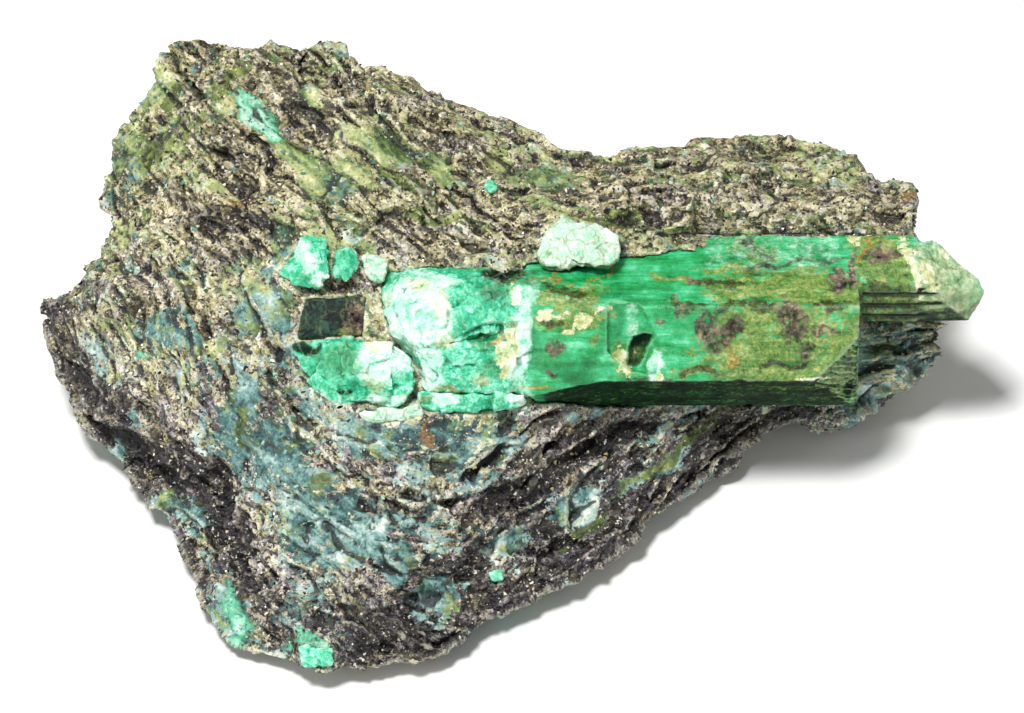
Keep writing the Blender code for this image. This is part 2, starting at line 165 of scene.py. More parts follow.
def grains(points, size, salt):  # packed grains with flat, tilted faces: how high they stand, in grain sizes
    high = np.full(len(points), -9.0)
    for cell, far, plane in nearCells(points, size, salt):
        high = np.maximum(high, 0.5 * hashed(cell, salt + 6) + 0.72 * plane - 0.9 * far)
    return high


def facets(points, size, salt, steep):  # broken faces: each point's height on its nearest cell's plane
    nearest = np.full(len(points), 9.0)
    height = np.zeros(len(points))
    number = np.zeros(len(points))
    for cell, far, plane in nearCells(points, size, salt):
        closer = far < nearest
        height = np.where(closer, hashed(cell, salt + 6) - 0.5 + steep * plane, height)
        number = np.where(closer, hashed(cell, salt + 7), number)
        nearest = np.minimum(nearest, far)
    return height, number


def smoothStep(low, high, value):
    t = np.clip((value - low) / (high - low), 0.0, 1.0)
    return t * t * (3.0 - 2.0 * t)


def patchShare(places, rows):  # how far inside any of the patches each place is, 0 to 1
    share = np.zeros(len(places))
    for u, v, halfLength, halfWidth, turn in rows:
        c, s = math.cos(math.radians(turn)), math.sin(math.radians(turn))
        du, dv = places[:, 0] - u, places[:, 1] - v
        far = np.hypot((du * c + dv * s) / halfLength, (dv * c - du * s) / halfWidth)
        share = np.maximum(share, np.clip((1.35 - far) / 0.7, 0.0, 1.0))
    return share


def linked(name, data):
    made = bpy.data.objects.new(name, data)
    bpy.context.scene.collection.objects.link(made)
    return made


def evaluated(source):  # its mesh with the modifiers taken in
    return bpy.data.meshes.new_from_object(source.evaluated_get(bpy.context.evaluated_depsgraph_get()))


def readVectors(mesh, name):
    flat = np.empty(len(mesh.vertices) * 3, np.float32)
    mesh.vertices.foreach_get(name, flat)
    return flat.reshape(-1, 3).astype(float)


def readShare(mesh, name):
    share = np.empty(len(mesh.vertices), np.float32)
    mesh.attributes[name].data.foreach_get("value", share)
    return share


def writePoints(mesh, points):
    mesh.vertices.foreach_set("co", points.astype(np.float32).ravel())
    mesh.update()


def writeShare(mesh, name, share):
    made = mesh.attributes.new(name, "FLOAT", "POINT")
    made.data.foreach_set("value", np.clip(share, 0.0, 1.0).astype(np.float32))


def neighbourMean(mesh, values, times=1):  # of each vertex's neighbours along edges
    ends = np.empty(len(mesh.edges) * 2, np.int32)
    mesh.edges.foreach_get("vertices", ends)
    a, b = ends.reshape(-1, 2).T
    count = np.bincount(ends, minlength=len(mesh.vertices))
    for _ in range(times):
        columns = [
            np.bincount(a, values[b, i], len(count)) + np.bincount(b, values[a, i], len(count))
            for i in range(values.shape[1])
        ]
        values = np.stack(columns, axis=1) / count[:, None]
    return values


def smoothed(mesh, points, share, times=1):
    return points + (neighbourMean(mesh, points, times) - points) * share


def raised(points, normals, relief):  # by millimetres
    return points + normals * (relief * mm)[:, None]


def fineCopy(node, name, voxel):  # an even, closed mesh of a solid, fine enough to carve
    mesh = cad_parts[node].data.copy()
    work = bmesh.new()
    work.from_mesh(mesh)
    bmesh.ops.remove_doubles(work, verts=work.verts, dist=1e-6)
    work.to_mesh(mesh)
    work.free()
    source = linked(name + ".source", mesh)
    remesh = source.modifiers.new("even", "REMESH")
    remesh.mode = "VOXEL"
    remesh.voxel_size = voxel * mm
    fine = evaluated(source)
    bpy.data.objects.remove(source)
    bpy.data.meshes.remove(mesh)
    fine.name = name
    fine.polygons.foreach_set("use_smooth", [True] * len(fine.polygons))
    return linked(name, fine)


def thinned(piece, triangles, keep, strength):  # fewer faces, most of them where keep is near 1
    mesh = piece.data
    group = piece.vertex_groups.new(name="keep")
    levels = 8
    for level in range(1, levels + 1):
        rows = np.nonzero(np.round(keep * levels).astype(int) == level)[0]
        group.add(rows.tolist(), level / levels, "REPLACE")
    modifier = piece.modifiers.new("thin", "DECIMATE")
    modifier.ratio = triangles / (2.0 * len(mesh.polygons))
    modifier.vertex_group, modifier.invert_vertex_group = "keep", True
    modifier.vertex_group_factor = strength
    thin = evaluated(piece)
    piece.modifiers.clear()
    piece.data = thin
    bpy.data.meshes.remove(mesh)
    piece.vertex_groups.clear()
    thin.name = piece.name


def smoothWhere(piece, name, low, high):  # smooth faces where a share is from low to high, else flat
    share = readShare(piece.data, name)[[p.vertices[0] for p in piece.data.polygons]]
    piece.data.polygons.foreach_set("use_smooth", (share > low) & (share < high))
    piece.data.update()


def handIn(piece, node, material):
    piece.data.materials.clear()
    piece.data.materials.append(material)
    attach(piece, "root")
    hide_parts(node)


camera = {"lens": 250.0, "sensor": 36.0, "frameWidth": 102.4, "behindFace": 5.0}  # millimetres


def makeCamera():
    data = bpy.data.cameras.new("camera")
    data.lens, data.sensor_width = camera["lens"], camera["sensor"]
    data.clip_start, data.clip_end = 0.01, 10.0
    made = linked("camera", data)
    outward = Vector(faceAxes()[2])
    target = Vector(face["centre"]) * mm - outward * camera["behindFace"] * mm
    distance = camera["frameWidth"] * mm * camera["lens"] / camera["sensor"]
    made.location = target + outward * distance
    made.rotation_euler = (face["lean"], 0.0, 0.0)
    bpy.context.scene.camera = made
    print("camera:", round(distance, 3), "m away")
    return target


studio = {
    "floorSide": 3.0, "floorColour": "#f6f6f4", "sky": "#ffffff", "skyStrength": 0.27,
    # each light: where it is from the stone in metres along x and up and out of the face,
    # its side in metres, and its watts
    "lights": {
        "overhead": ((-0.14, 0.36, 0.6), 0.14, 5.8),
        "low left": ((-0.6, 0.0, 0.4), 0.2, 0.6),
        "low right": ((0.6, -0.1, 0.3), 0.2, 0.45),
    },
}


def makeStudio(target):
    half = studio["floorSide"] / 2.0
    corners = [(-half, -half, 0.0), (half, -half, 0.0), (half, half, 0.0), (-half, half, 0.0)]
    mesh = bpy.data.meshes.new("floor")
    mesh.from_pydata(corners, [], [(0, 1, 2, 3)])
    paper, tree = newMaterial("white paper sweep")
    shader = addNode(tree, "ShaderNodeBsdfPrincipled", {}, {
        "Base Color": studio["floorColour"], "Roughness": 0.9, "Specular IOR Level": 0.1})
    addNode(tree, "ShaderNodeOutputMaterial", {}, {"Surface": shader})
    mesh.materials.append(paper)
    linked("floor", mesh)
    world = bpy.data.worlds.new("studio")
    world.use_nodes = True
    world.node_tree.nodes.clear()
    sky = addNode(world.node_tree, "ShaderNodeBackground", {}, {
        "Color": studio["sky"], "Strength": studio["skyStrength"]})
    addNode(world.node_tree, "ShaderNodeOutputWorld", {}, {"Surface": sky})
    bpy.context.scene.world = world
    for name, (place, side, watts) in studio["lights"].items():
        data = bpy.data.lights.new(name, "AREA")
        data.size, data.energy = side, watts
        light = linked(name, data)
        away = Vector(np.array(place) @ faceAxes())
        light.location = target + away
        light.rotation_euler = away.to_track_quat("Z", "Y").to_euler()
    bpy.context.scene.view_settings.view_transform = "Standard"  # keeps the greens strong
    print("studio:", len(studio["lights"]), "lights")


schist = {
    "voxel": 0.3,  # millimetres, as all sizes here
    "triangles": 190000,
    "keepFace": 2.0,  # how far the thinning spares the broken face
    "smoothFrom": 0.3,  # the share of chlorite from which the faces are smooth
    # the broken faces: three sizes, how steep each is and how far it stands out
    "faceSizes": (3.6, 1.5, 0.7), "faceSlopes": (1.1, 1.1, 0.8), "faceHeights": (0.75, 0.36, 0.2),
    # the layers and their worn ends, fine crumbs, the hollows, and how far all of it is sunk in
    "layer": 1.5, "layerEnds": 0.42, "crumbs": 0.1, "hollows": 0.8, "sunk": 0.35,
    "rimPush": (0.15, 0.65),  # all round, and more to the west and below
    # how many to a millimetre: mica flakes, specks, and the noises that colour them
    "perMm": {
        "flakes": 2.0, "specks": 4.6, "drift": 0.8, "jitter": 3.2,
        "clouds": 0.45, "streaks": 1.3, "frays": 1.0, "crumbs": 3.2, "greens": 0.32, "warmth": 0.35,
    },
    # each mineral's colours, dark to light
    "colours": {
        "purple mica": [
            (0.22, "#110f13"), (0.38, "#3e383f"), (0.5, "#706970"), (0.62, "#a29a9c"), (0.8, "#e4dcd4")],
        "brown mica": [
            (0.22, "#17150b"), (0.38, "#484426"), (0.5, "#837a4e"), (0.62, "#b6aa74"), (0.8, "#eee3b4")],
        "blue chlorite": [
            (0.28, "#0d1f23"), (0.4, "#29504f"), (0.5, "#558480"),
            (0.6, "#84aca6"), (0.72, "#b7cfc8"), (0.82, "#eef4ea")],
        "olive chlorite": [
            (0.28, "#1e2c12"), (0.4, "#486032"), (0.5, "#768e52"),
            (0.6, "#9cab6a"), (0.72, "#c3c688"), (0.82, "#e9e6ba")],
        "yellow feldspar": [(0.28, "#76733c"), (0.42, "#aaa468"), (0.56, "#d3cb9c"), (0.72, "#f8f4de")],
        "white feldspar": [(0.28, "#7c8068"), (0.42, "#adb096"), (0.56, "#dadbc8"), (0.72, "#ffffff")],
        "epidote": [(0.3, "#27330f"), (0.48, "#4f6420"), (0.62, "#86953f"), (0.75, "#c8c97c")],
        "limonite": [(0.35, "#4a3010"), (0.55, "#9a6e2c"), (0.7, "#d8b468")],
        "emerald": [(0.3, "#0d5a3a"), (0.46, "#2f9f70"), (0.6, "#7fd9b2"), (0.74, "#dcfbea")],
    },
    # patches of each mineral on the broken face: u, v, half length, half width, turn
    "biotite": [
        (-24.1, 27.6, 2.4, 1.5, 0), (-17.8, 26, 2.2, 1.6, -30), (-27.2, 21.6, 2.8, 2, 0),
        (-24.4, 17.8, 3.4, 2.6, -15), (-29.5, 12.6, 4.4, 2.6, -8), (-4.4, 11.6, 8.5, 1.7, -2),
        (-17.2, 7.2, 5, 0.9, 0), (-36.4, 6.5, 2.2, 2.2, 0), (-45.4, 1, 1.5, 4, 10),
        (-30.2, 4.4, 1.8, 1.6, 0), (-34.4, -6, 3, 3.2, 20), (-36.2, -10, 4.2, 2, -35),
        (-28.4, -14.2, 1.7, 3.2, 25), (-25.4, -20.4, 2.4, 4.6, 15), (-17, -10, 2.4, 1.2, -10),
        (-13, -13, 1.8, 1.2, 20), (-15, -21.8, 3.2, 1.6, -20), (-3.4, -25, 1.5, 1.3, 0),
        (-14, -30, 2.4, 1.6, 0), (11, 16.2, 4, 1.4, 8), (24, 14.6, 13, 1.6, 2), (34, 15, 5, 1.6, -10),
        (-7.4, 23, 4.6, 1.5, -28), (-9, 17.4, 3, 1.6, -35), (-1, 14, 4, 1.2, -12), (-42, -6, 2, 3.4, 32),
        (-33.5, 15, 2.4, 1.6, 20), (-20.6, 23, 1.6, 2, 0), (-2.5, -14.6, 3.4, 1.3, 8),
        (3.6, -7, 1.6, 1.9, 0), (4, -22, 6, 1.2, 35),
    ],
    # black mica; the rows along the lower flank and the west rim also stand for painted shade on those steep
    # sides
    "black": [
        (-46.3, -1.5, 1.4, 6, 12), (-43, -9, 1.4, 5, 38), (-34, -10.4, 4.6, 2.2, -25),
        (-30.5, -15.5, 1.6, 4, 18), (-26.5, -20.5, 1.4, 5, 20), (-14.5, -29.8, 3, 1.8, 0),
        (-6, -27.6, 5, 1.8, 22), (3, -22.8, 6, 2, 32), (11, -17, 6, 2.6, 40), (20, -11, 6, 2.2, 38),
        (27, -6.6, 4, 1.3, 25), (1, -13.6, 4.6, 1.6, 22), (-40.5, -5, 1, 3, 30), (9.5, -9, 6, 1, 30),
        (-20, 24.6, 2.6, 1.6, -40), (4, -17.6, 3, 1, 30), (-28.6, 13.4, 3.4, 1.2, -10),
        (4.5, -9.6, 5, 1.4, 24),
    ],
    "chlorite": [
        (-17.6, -17.4, 4.6, 3.2, -15), (-11.7, -20.4, 1.3, 2.3, -35), (-13.6, -7.8, 3.6, 1.8, 0),
        (-22.8, -9, 2.6, 2.8, 0), (-27, -6.6, 1.6, 4.2, -12), (-24.2, 4, 2.3, 2.1, 0),
        (-33, -14.7, 2.8, 1.5, -30), (-18.2, 17.8, 3.2, 1.9, 0), (-20.5, 25.7, 1.3, 1.9, 30),
        (-13.1, 21, 3, 1.4, -25), (-23.2, 11.4, 1.8, 1.5, 0), (-37.7, 19.9, 1.5, 2.4, -10),
        (-34.5, 26.5, 1.5, 2, 0), (-7.5, -23.7, 3, 2.2, 25), (0.3, -18.9, 2.6, 1.1, 30),
        (6.7, -15.5, 2.8, 2, 35), (-34, 2.6, 3, 1.5, 0), (-39.2, -8.9, 1.4, 1.3, 0), (-4, -8.4, 4, 2, -10),
        (14, -11.4, 5, 1.3, 34), (-8, 19, 2.4, 1.2, -30), (41, -0.6, 3, 3, 0), (36, -2, 3, 4, -30),
        (-27.6, -26, 1.6, 3, 25), (-20, -12.6, 3, 1.4, -20), (-22, 20.6, 3, 1.5, -30), (3, 18.5, 3, 1, 0),
    ],
    "feldspar": [
        (-25, 0.9, 2.8, 1.1, 0), (-32.2, -3.6, 0.8, 3, -12), (-38, -0.6, 2.6, 2.2, 0),
        (-42.2, 4, 1.5, 1.1, 30), (-2.7, -8.8, 2, 2, 0), (-19.6, -7, 2, 1.3, -10),
        (-16.4, -12.4, 2.6, 0.8, 10), (-17.2, 19.6, 1.5, 0.8, 0), (-14, 22.8, 2, 0.5, -15),
        (-5.2, 23.6, 1, 0.5, -30), (-35, -16, 1.4, 0.8, -20), (-24.6, -14.4, 0.8, 3, -20),
        (18.2, 18.6, 1, 0.7, 0), (38.4, -1.8, 2.2, 1, -30), (42.4, 0.6, 0.7, 1.6, -20),
        (-30.6, 7.2, 2, 1, 30), (-36, 11.6, 1.2, 2, 0), (-13.5, 15.5, 4, 0.7, 3), (-7.6, -12.6, 1.2, 1, 0),
        (-1.6, -20.3, 1.4, 0.6, 10), (-13.3, 4.2, 1.1, 1.4, 0), (-15.4, 3.2, 1.2, 0.8, 0),
    ],
    "emerald": [
        (-25.4, 24.9, 3.2, 1.3, -34), (-24, 22.8, 1.5, 1, -50), (-27.3, -25, 0.7, 2.6, 25),
        (-19.8, -28.8, 1.9, 1, -20), (-37.2, 0, 0.8, 0.6, 0), (-26.4, -28.2, 1.2, 0.7, -30),
    ],
    "epidote": [
        (-35.4, 20.2, 2.6, 1.1, 38), (-32.4, 22.6, 2, 0.6, 50), (-29, 27, 0.7, 3, -38),
        (-21.6, 21.1, 1.6, 0.5, -38), (-11.4, 17.6, 4.6, 0.6, -38), (-18.4, -12.6, 1.1, 1, 0),
        (-8, 13.4, 7, 0.5, -4), (8, -17.4, 3, 0.6, 35), (16, -9.6, 8, 0.8, 38), (-26.6, -7, 0.5, 2, -10),
        (10.2, 13.6, 3, 0.8, 0), (-33.6, 25.8, 0.8, 2.4, -25),
    ],
    "limonite": [
        (-8.2, -7.6, 0.9, 1.3, 0), (-27.4, 15, 1.3, 0.5, -20), (-33, 2.9, 0.4, 0.5, 0),
        (-31, 6.4, 0.4, 0.6, 0), (-8.6, -4.6, 0.7, 0.7, 0), (39.8, 16.6, 1, 0.8, 0),
    ],
    # hollows, sunk into the stone and painted dark as shade: u, v, half length, half width, turn
    "hollow": [
        (-36.4, -10.2, 4.6, 1.1, -38), (-29.4, -13, 0.8, 2.6, 15), (1, -14, 4, 1.1, 25),
        (4.4, -6.4, 3, 0.8, 38), (-12.6, -28.8, 0.9, 0.8, 0), (-31.6, 26.8, 1.3, 0.5, -52),
        (-20.7, 29.2, 0.4, 1.1, -20), (10, -8.4, 5, 0.8, 22), (-6.4, -27.6, 1.6, 0.6, 30),
        (-43, -2, 0.6, 3, 28), (-18.2, 26.4, 2.4, 0.35, -46), (-16.6, 23.6, 1.8, 0.3, -32),
        (-42, -7, 0.4, 3, 34), (-26, -19, 0.4, 3, 22), (-2, -10.4, 3, 0.4, 20), (22, -10, 5, 0.6, 36),
        (-4, 15.6, 3, 0.3, -30),
    ],
}


def alongLayers(places):
    # Coordinates that follow the schist's layers: level along the wing, down to the east
    # on the crown and up to the east on the lower flank.
    u, v, w = places.T
    crown = 0.7 * np.logaddexp(0.0, -u / 3.0) * 3.0
    flank = 0.7 * np.logaddexp(0.0, (u + 6.0) / 3.0) * 3.0 + 0.6 * np.logaddexp(0.0, -(u + 6.0) / 3.0) * 3.0
    upper = smoothStep(-10.0, 12.0, v)
    return np.stack([u, v - upper * crown - (1.0 - upper) * flank, w], axis=1)


def mineralShares(places, facing):  # how much of each mineral is at each place, 0 to 1
    bent = places + 1.3 * noiseVector(places, 5.0, 11, 2) + 0.7 * noiseVector(places, 1.6, 23, 2)
    shares = {}
    for salt, mineral in enumerate((
            "biotite", "chlorite", "feldspar", "emerald", "epidote", "limonite", "hollow", "black")):
        # away from the broken face they follow noise alone
        strewn = smoothStep(0.05, 0.45, smoothNoise(places, 9.0, 300 + 7 * salt, 3))
        if mineral in ("emerald", "limonite"):
            strewn = strewn * 0.25
        shares[mineral] = facing * patchShare(bent, schist[mineral]) + (1.0 - facing) * strewn
    # black mica along the lower flank and the west rim, and painted shade there, where these steep sides face
    # away from the light
    u, v = bent[:, 0], bent[:, 1]
    flank = smoothStep(-4.2, 0.2, 0.472 * (u + 15.0) - 0.882 * (v + 27.0)) * smoothStep(30.0, 24.0, u)
    rimBand = smoothStep(-3.2, -0.6, -0.882 * (u + 46.5) - 0.471 * (v - 4.0)) * smoothStep(8.0, 2.0, v)
    shares["black"] = np.maximum(shares["black"], 0.85 * facing * np.maximum(flank, rimBand))
    return shares


def brokenRelief(places, layers, grainy, hollow):
    # How far the stone stands out in millimetres, and a number from 0 to 1 for each broken face.
    laid = (layers + 0.35 * noiseVector(places, 2.2, 5, 2)) * np.array([0.55, 1.0, 0.9])
    (big, bigNumber), (middle, middleNumber), (small, smallNumber) = (
        facets(laid, size, salt, steep)
        for size, salt, steep in zip(schist["faceSizes"], (31, 47, 59), schist["faceSlopes"]))
    heights = schist["faceHeights"]
    relief = heights[0] * big + heights[1] * grainy * middle + heights[2] * grainy * small
    # worn edges of the layers, like the ends of shingles
    sheet = laid[:, 1] / schist["layer"] + 1.3 * smoothNoise(laid, 4.5, 91, 2)
    sheet = sheet - np.floor(sheet)
    sheet = np.minimum(sheet, 6.0 * (1.0 - sheet))
    relief += schist["layerEnds"] * smoothStep(-0.3, 0.6, smoothNoise(places, 7.0, 97)) * (sheet - 0.45)
    relief += schist["crumbs"] * grainy * smoothNoise(places, 0.75, 83)
    relief -= schist["hollows"] * hollow + schist["sunk"]
    return relief, 0.4 * middleNumber + 0.3 * bigNumber + 0.3 * smallNumber


def carveSchist(stone, crystals):
    mesh = stone.data
    outOfFace = faceAxes()[2]
    points = readVectors(mesh, "co")
    height = points[:, 2] / mm
    free = smoothStep(0.15, 1.2, height)[:, None]  # the flat underside stays flat
    away = np.array([crystals.find(p)[2] for p in points])[:, None] / mm
    clear = smoothStep(0.6, 2.6, away)
    points = smoothed(mesh, points, free * clear, 5)
    writePoints(mesh, points)
    normals = readVectors(mesh, "normal")
    places = toFace(points)
    away, clear = away[:, 0], clear[:, 0]
    facing = smoothStep(-0.2, 0.25, normals @ outOfFace)
    shares = mineralShares(places, facing)
    smooth = np.clip(shares["chlorite"] + shares["emerald"], 0.0, 1.0)
    layers = alongLayers(places)
    relief, grain = brokenRelief(places, layers, 1.0 - 0.7 * smooth, shares["hollow"])
    # the rim stands out to the west and below
    outward = normals @ faceAxes().T
    rim = smoothStep(0.75, 0.3, np.abs(outward[:, 2]))
    lower = smoothStep(-0.2, 0.5, -0.5 * outward[:, 0] - 0.85 * outward[:, 1])
    relief += rim * (schist["rimPush"][0] + schist["rimPush"][1] * lower)
    # banked up against the broken beryl in the west, flush with the crystal in the east
    beside = smoothStep(0.9, 0.4, away)
    west = smoothStep(2.0, -1.0, places[:, 0])
    relief = relief * (0.1 + 0.9 * clear)
    relief = np.minimum(relief, 0.05 + smoothStep(0.8, 4.5, away)) * (1.0 - beside) + 0.16 * beside
    relief += west * smoothStep(1.5, 0.5, away) * (0.12 + 0.2 * smoothNoise(places, 1.3, 71, 2))
    points = smoothed(mesh, raised(points, normals * free, relief), 0.4 * free)
    # over the rear column the stone is broken away down to the crystal's sloping top
    u, v, w = toFace(points).T
    brink = 12.1 + 0.35 * smoothNoise(places, 1.6, 73, 2)
    ledge = -0.6 - 1.16 * (np.minimum(v, brink) - 9.0) + 0.55 * np.maximum(v - brink, 0.0)
    ledge += 0.7 * np.maximum(18.0 + 2.0 * smoothNoise(places, 1.6, 75, 2) - u, 0.0)
    ledge += 6.0 * np.maximum(u - 40.3, 0.0)
    points = points + np.outer(np.minimum(ledge - w, 0.0) * (v > 8.6) * free[:, 0] * mm, outOfFace)
    writePoints(mesh, points)
    normals = readVectors(mesh, "normal")
    bulge = [
        ((points - neighbourMean(mesh, points, times)) * normals).sum(axis=1) / (mm * scale)
        for times, scale in ((2, 0.11), (12, 0.4))
    ]
    shares["olive"] = smoothStep(-14.0, 24.0, places[:, 1])
    crust = west * smoothStep(1.4, 0.6, away) * smoothStep(-0.1, 0.4, smoothNoise(places, 2.4, 79, 2))
    shares["feldspar"] = np.maximum(shares["feldspar"], 0.6 * facing * crust)
    # what the loose grains follow
    bare = smoothStep(0.7, 1.2, height) * smoothStep(0.5, 0.9, away)
    shares["flakes"] = bare * np.clip(1.0 - 1.4 * smooth - 0.5 * shares["hollow"], 0.0, 1.0)
    shares["pale"] = bare * np.clip(0.12 + shares["feldspar"] - 0.2 * smooth, 0.0, 1.0)
    shares["green"] = bare * np.clip(0.25 + 0.5 * shares["chlorite"] - 0.4 * shares["black"], 0.0, 1.0)
    for name, share in shares.items():
        writeShare(mesh, name, share)
    # how far each place bulges out: the material paints ridges pale as a highlight and creases dark as shade
    bulge = 0.25 * bulge[0] + 0.25 * bulge[1]
    quiet = 0.2 + 0.8 * smoothStep(0.25, 0.8, np.abs(normals @ outOfFace))  # no bright outline on the rim
    writeShare(mesh, "edge", 0.5 + np.where(bulge > 0.0, bulge * quiet, bulge))
    writeShare(mesh, "grain", grain)
    made = mesh.attributes.new("layers", "FLOAT_VECTOR", "POINT")
    made.data.foreach_set("vector", (layers * np.array([0.65, 1.0, 1.0])).astype(np.float32).ravel())
    keep = facing * smoothStep(-0.5, 0.5, away) * (0.2 + 0.8 * free[:, 0])
    thinned(stone, schist["triangles"], keep, schist["keepFace"])


def schistMaterial():
    # Biotite schist, freshly broken: dull brown-black mica full of glints, glassy blue-green
    # chlorite and beryl, and ragged cream feldspar, more of it on ridges as a painted highlight; creases and
    # hollows get painted shade.
    made, tree = newMaterial("biotite schist, freshly broken")
    place = millimetres(tree)
    layers = addNode(tree, "ShaderNodeAttribute", {"attribute_name": "layers"}).outputs["Vector"]
    at = {
        name: addNode(tree, "ShaderNodeAttribute", {"attribute_name": name}).outputs["Fac"]
        for name in ("biotite", "black", "chlorite", "edge", "emerald", "epidote", "feldspar", "grain",
                     "hollow", "limonite", "olive")
    }
    perMm = schist["perMm"]
    drift, jitter = (
        addNode(tree, "ShaderNodeTexNoise", {}, {"Vector": place, "Scale": perMm[name], "Detail": detail})
        for name, detail in (("drift", 3.0), ("jitter", 2.0)))
    shifted = bentBy(tree, place, drift, 1.8)
    flecks, specks = (
        addNode(tree, "ShaderNodeTexVoronoi", {}, {"Vector": vector, "Scale": perMm[name]})
        for name, vector in (
            ("flakes", bentBy(tree, layers, jitter, 0.7)), ("specks", bentBy(tree, place, jitter, 0.4))))
    # three numbers from 0 to 1 for each flake and each speck
    fleck, speck = (
        addNode(tree, "ShaderNodeSeparateColor", {}, {0: cells.outputs["Color"]}).outputs
        for cells in (flecks, specks))
    cloud, streak, fray, crumb, greens, warmth = (
        addNode(tree, "ShaderNodeTexNoise", {}, {
            "Vector": vector, "Scale": perMm[name], "Detail": detail, "Roughness": rough}).outputs[0]
        for name, vector, detail, rough in (
            ("clouds", shifted, 6.0, 0.68), ("streaks", layers, 6.0, 0.75), ("frays", shifted, 6.0, 0.8),
            ("crumbs", place, 4.0, 0.8), ("greens", place, 3.0, 0.65), ("warmth", shifted, 4.0, 0.7)))
    ragged = weigh(tree, [(fray, 0.5), (streak, 0.5)])

    # how light each is: mica by its flakes, chlorite in soft clouds, feldspar by its crumbs
    micaTone = weigh(tree, [
        (fleck[2], 0.32), (speck[0], 0.28), (crumb, 0.4), (at["black"], -0.27), (at["biotite"], 0.06),
        (at["grain"], 0.3)], -0.12)
    glassTone = weigh(tree, [(cloud, 0.8), (at["grain"], 0.6), (speck[0], 0.1)], -0.26)
    creamTone = weigh(tree, [(crumb, 0.7), (fleck[0], 0.35)], -0.02)
    emeraldTone = weigh(tree, [(cloud, 0.8), (at["emerald"], 0.3)], -0.08)
    tones = {
        "purple mica": micaTone, "brown mica": micaTone, "blue chlorite": glassTone,
        "olive chlorite": glassTone, "yellow feldspar": creamTone, "white feldspar": creamTone,
        "epidote": cloud, "limonite": crumb, "emerald": emeraldTone,
    }
    tint = {
        name: addNode(tree, "ShaderNodeValToRGB", {"stops": stops}, {0: tones[name]})
        for name, stops in schist["colours"].items()
    }
    warm = weigh(tree, [(warmth, 1.0), (at["olive"], 0.16), (speck[2], 0.26)], -0.22)
    hue = weigh(tree, [(greens, 1.0), (at["olive"], 0.26), (fleck[1], 0.16)], -0.19)
    mica = layOver(tree, tint["purple mica"], tint["brown mica"], warm, 0.36, 0.56, 0.85)
    glassy = layOver(tree, tint["blue chlorite"], tint["olive chlorite"], hue, 0.42, 0.58)
    cream = layOver(tree, tint["white feldspar"], tint["yellow feldspar"], warm, 0.3, 0.48)

    # where each is: its own patches, broken up by noise and by the flecks themselves
    isGlassy = weigh(tree, [
        (at["chlorite"], 0.75), (at["biotite"], -0.55), (at["black"], -0.58), (at["olive"], -0.12),
        (cloud, 2.4), (fleck[0], 0.5), (at["grain"], 0.4)], -1.61)
    glassShare = addNode(tree, "ShaderNodeMapRange", {"interpolation_type": "SMOOTHSTEP"}, {
        "Value": isGlassy, "From Min": -0.06, "From Max": 0.1})
    colour = addNode(tree, "ShaderNodeMixRGB", {}, {"Fac": glassShare, "Color1": mica, "Color2": glassy})
    seam = addNode(tree, "ShaderNodeMath", {"operation": "ABSOLUTE"}, {0: isGlassy})
    # cream feldspar, more of it on ridges, where it also serves as a painted highlight
    isCream = weigh(tree, [
        (at["feldspar"], 0.75), (ragged, 3.4), (at["edge"], 0.9), (fleck[1], 0.9), (at["black"], -0.4),
        (seam, -0.5)], -2.85)
    colour = layOver(tree, colour, cream, isCream, 0.0, 0.16, 0.92)
    for name, reach in (("epidote", 0.45), ("limonite", 0.75), ("emerald", 0.4)):
        share = weigh(tree, [(at[name], 1.0), (ragged, 2.6), (fleck[0], 0.5)], -1.55)
        colour = layOver(tree, colour, tint[name], share, reach, reach + 0.3, 0.9)
    # painted highlight: ridges (the bruised mask) go pale; painted shade: creases and hollows go dark
    bruised = weigh(tree, [(at["edge"], 1.0), (crumb, 0.9)], -0.45)
    colour = layOver(tree, colour, "#e2dfca", bruised, 0.72, 1.0, 0.4)
    colour = layOver(tree, colour, "#0c0a0a", at["edge"], 0.42, 0.18, 0.9)
    colour = layOver(tree, colour, "#0e0b0b", at["hollow"], 0.3, 0.9, 0.75)
    # pale specks, partly quartz and partly painted mica glints, and specks of black mica
    pale = addNode(tree, "ShaderNodeMath", {"operation": "GREATER_THAN"}, {
        0: weigh(tree, [(speck[1], 1.0), (streak, 0.5)], -0.25), 1: 0.985})
    black = addNode(tree, "ShaderNodeMath", {"operation": "LESS_THAN"}, {0: speck[1], 1: 0.09})
    quiet = addNode(tree, "ShaderNodeMapRange", {}, {"Value": glassShare, "To Min": 0.85, "To Max": 0.4})
    for which, speckColour in ((pale, "#f4eedd"), (black, "#15100f")):
        share = addNode(tree, "ShaderNodeMath", {"operation": "MULTIPLY"}, {0: which, 1: quiet})
        colour = addNode(tree, "ShaderNodeMixRGB", {}, {
            "Fac": share, "Color1": colour, "Color2": speckColour})
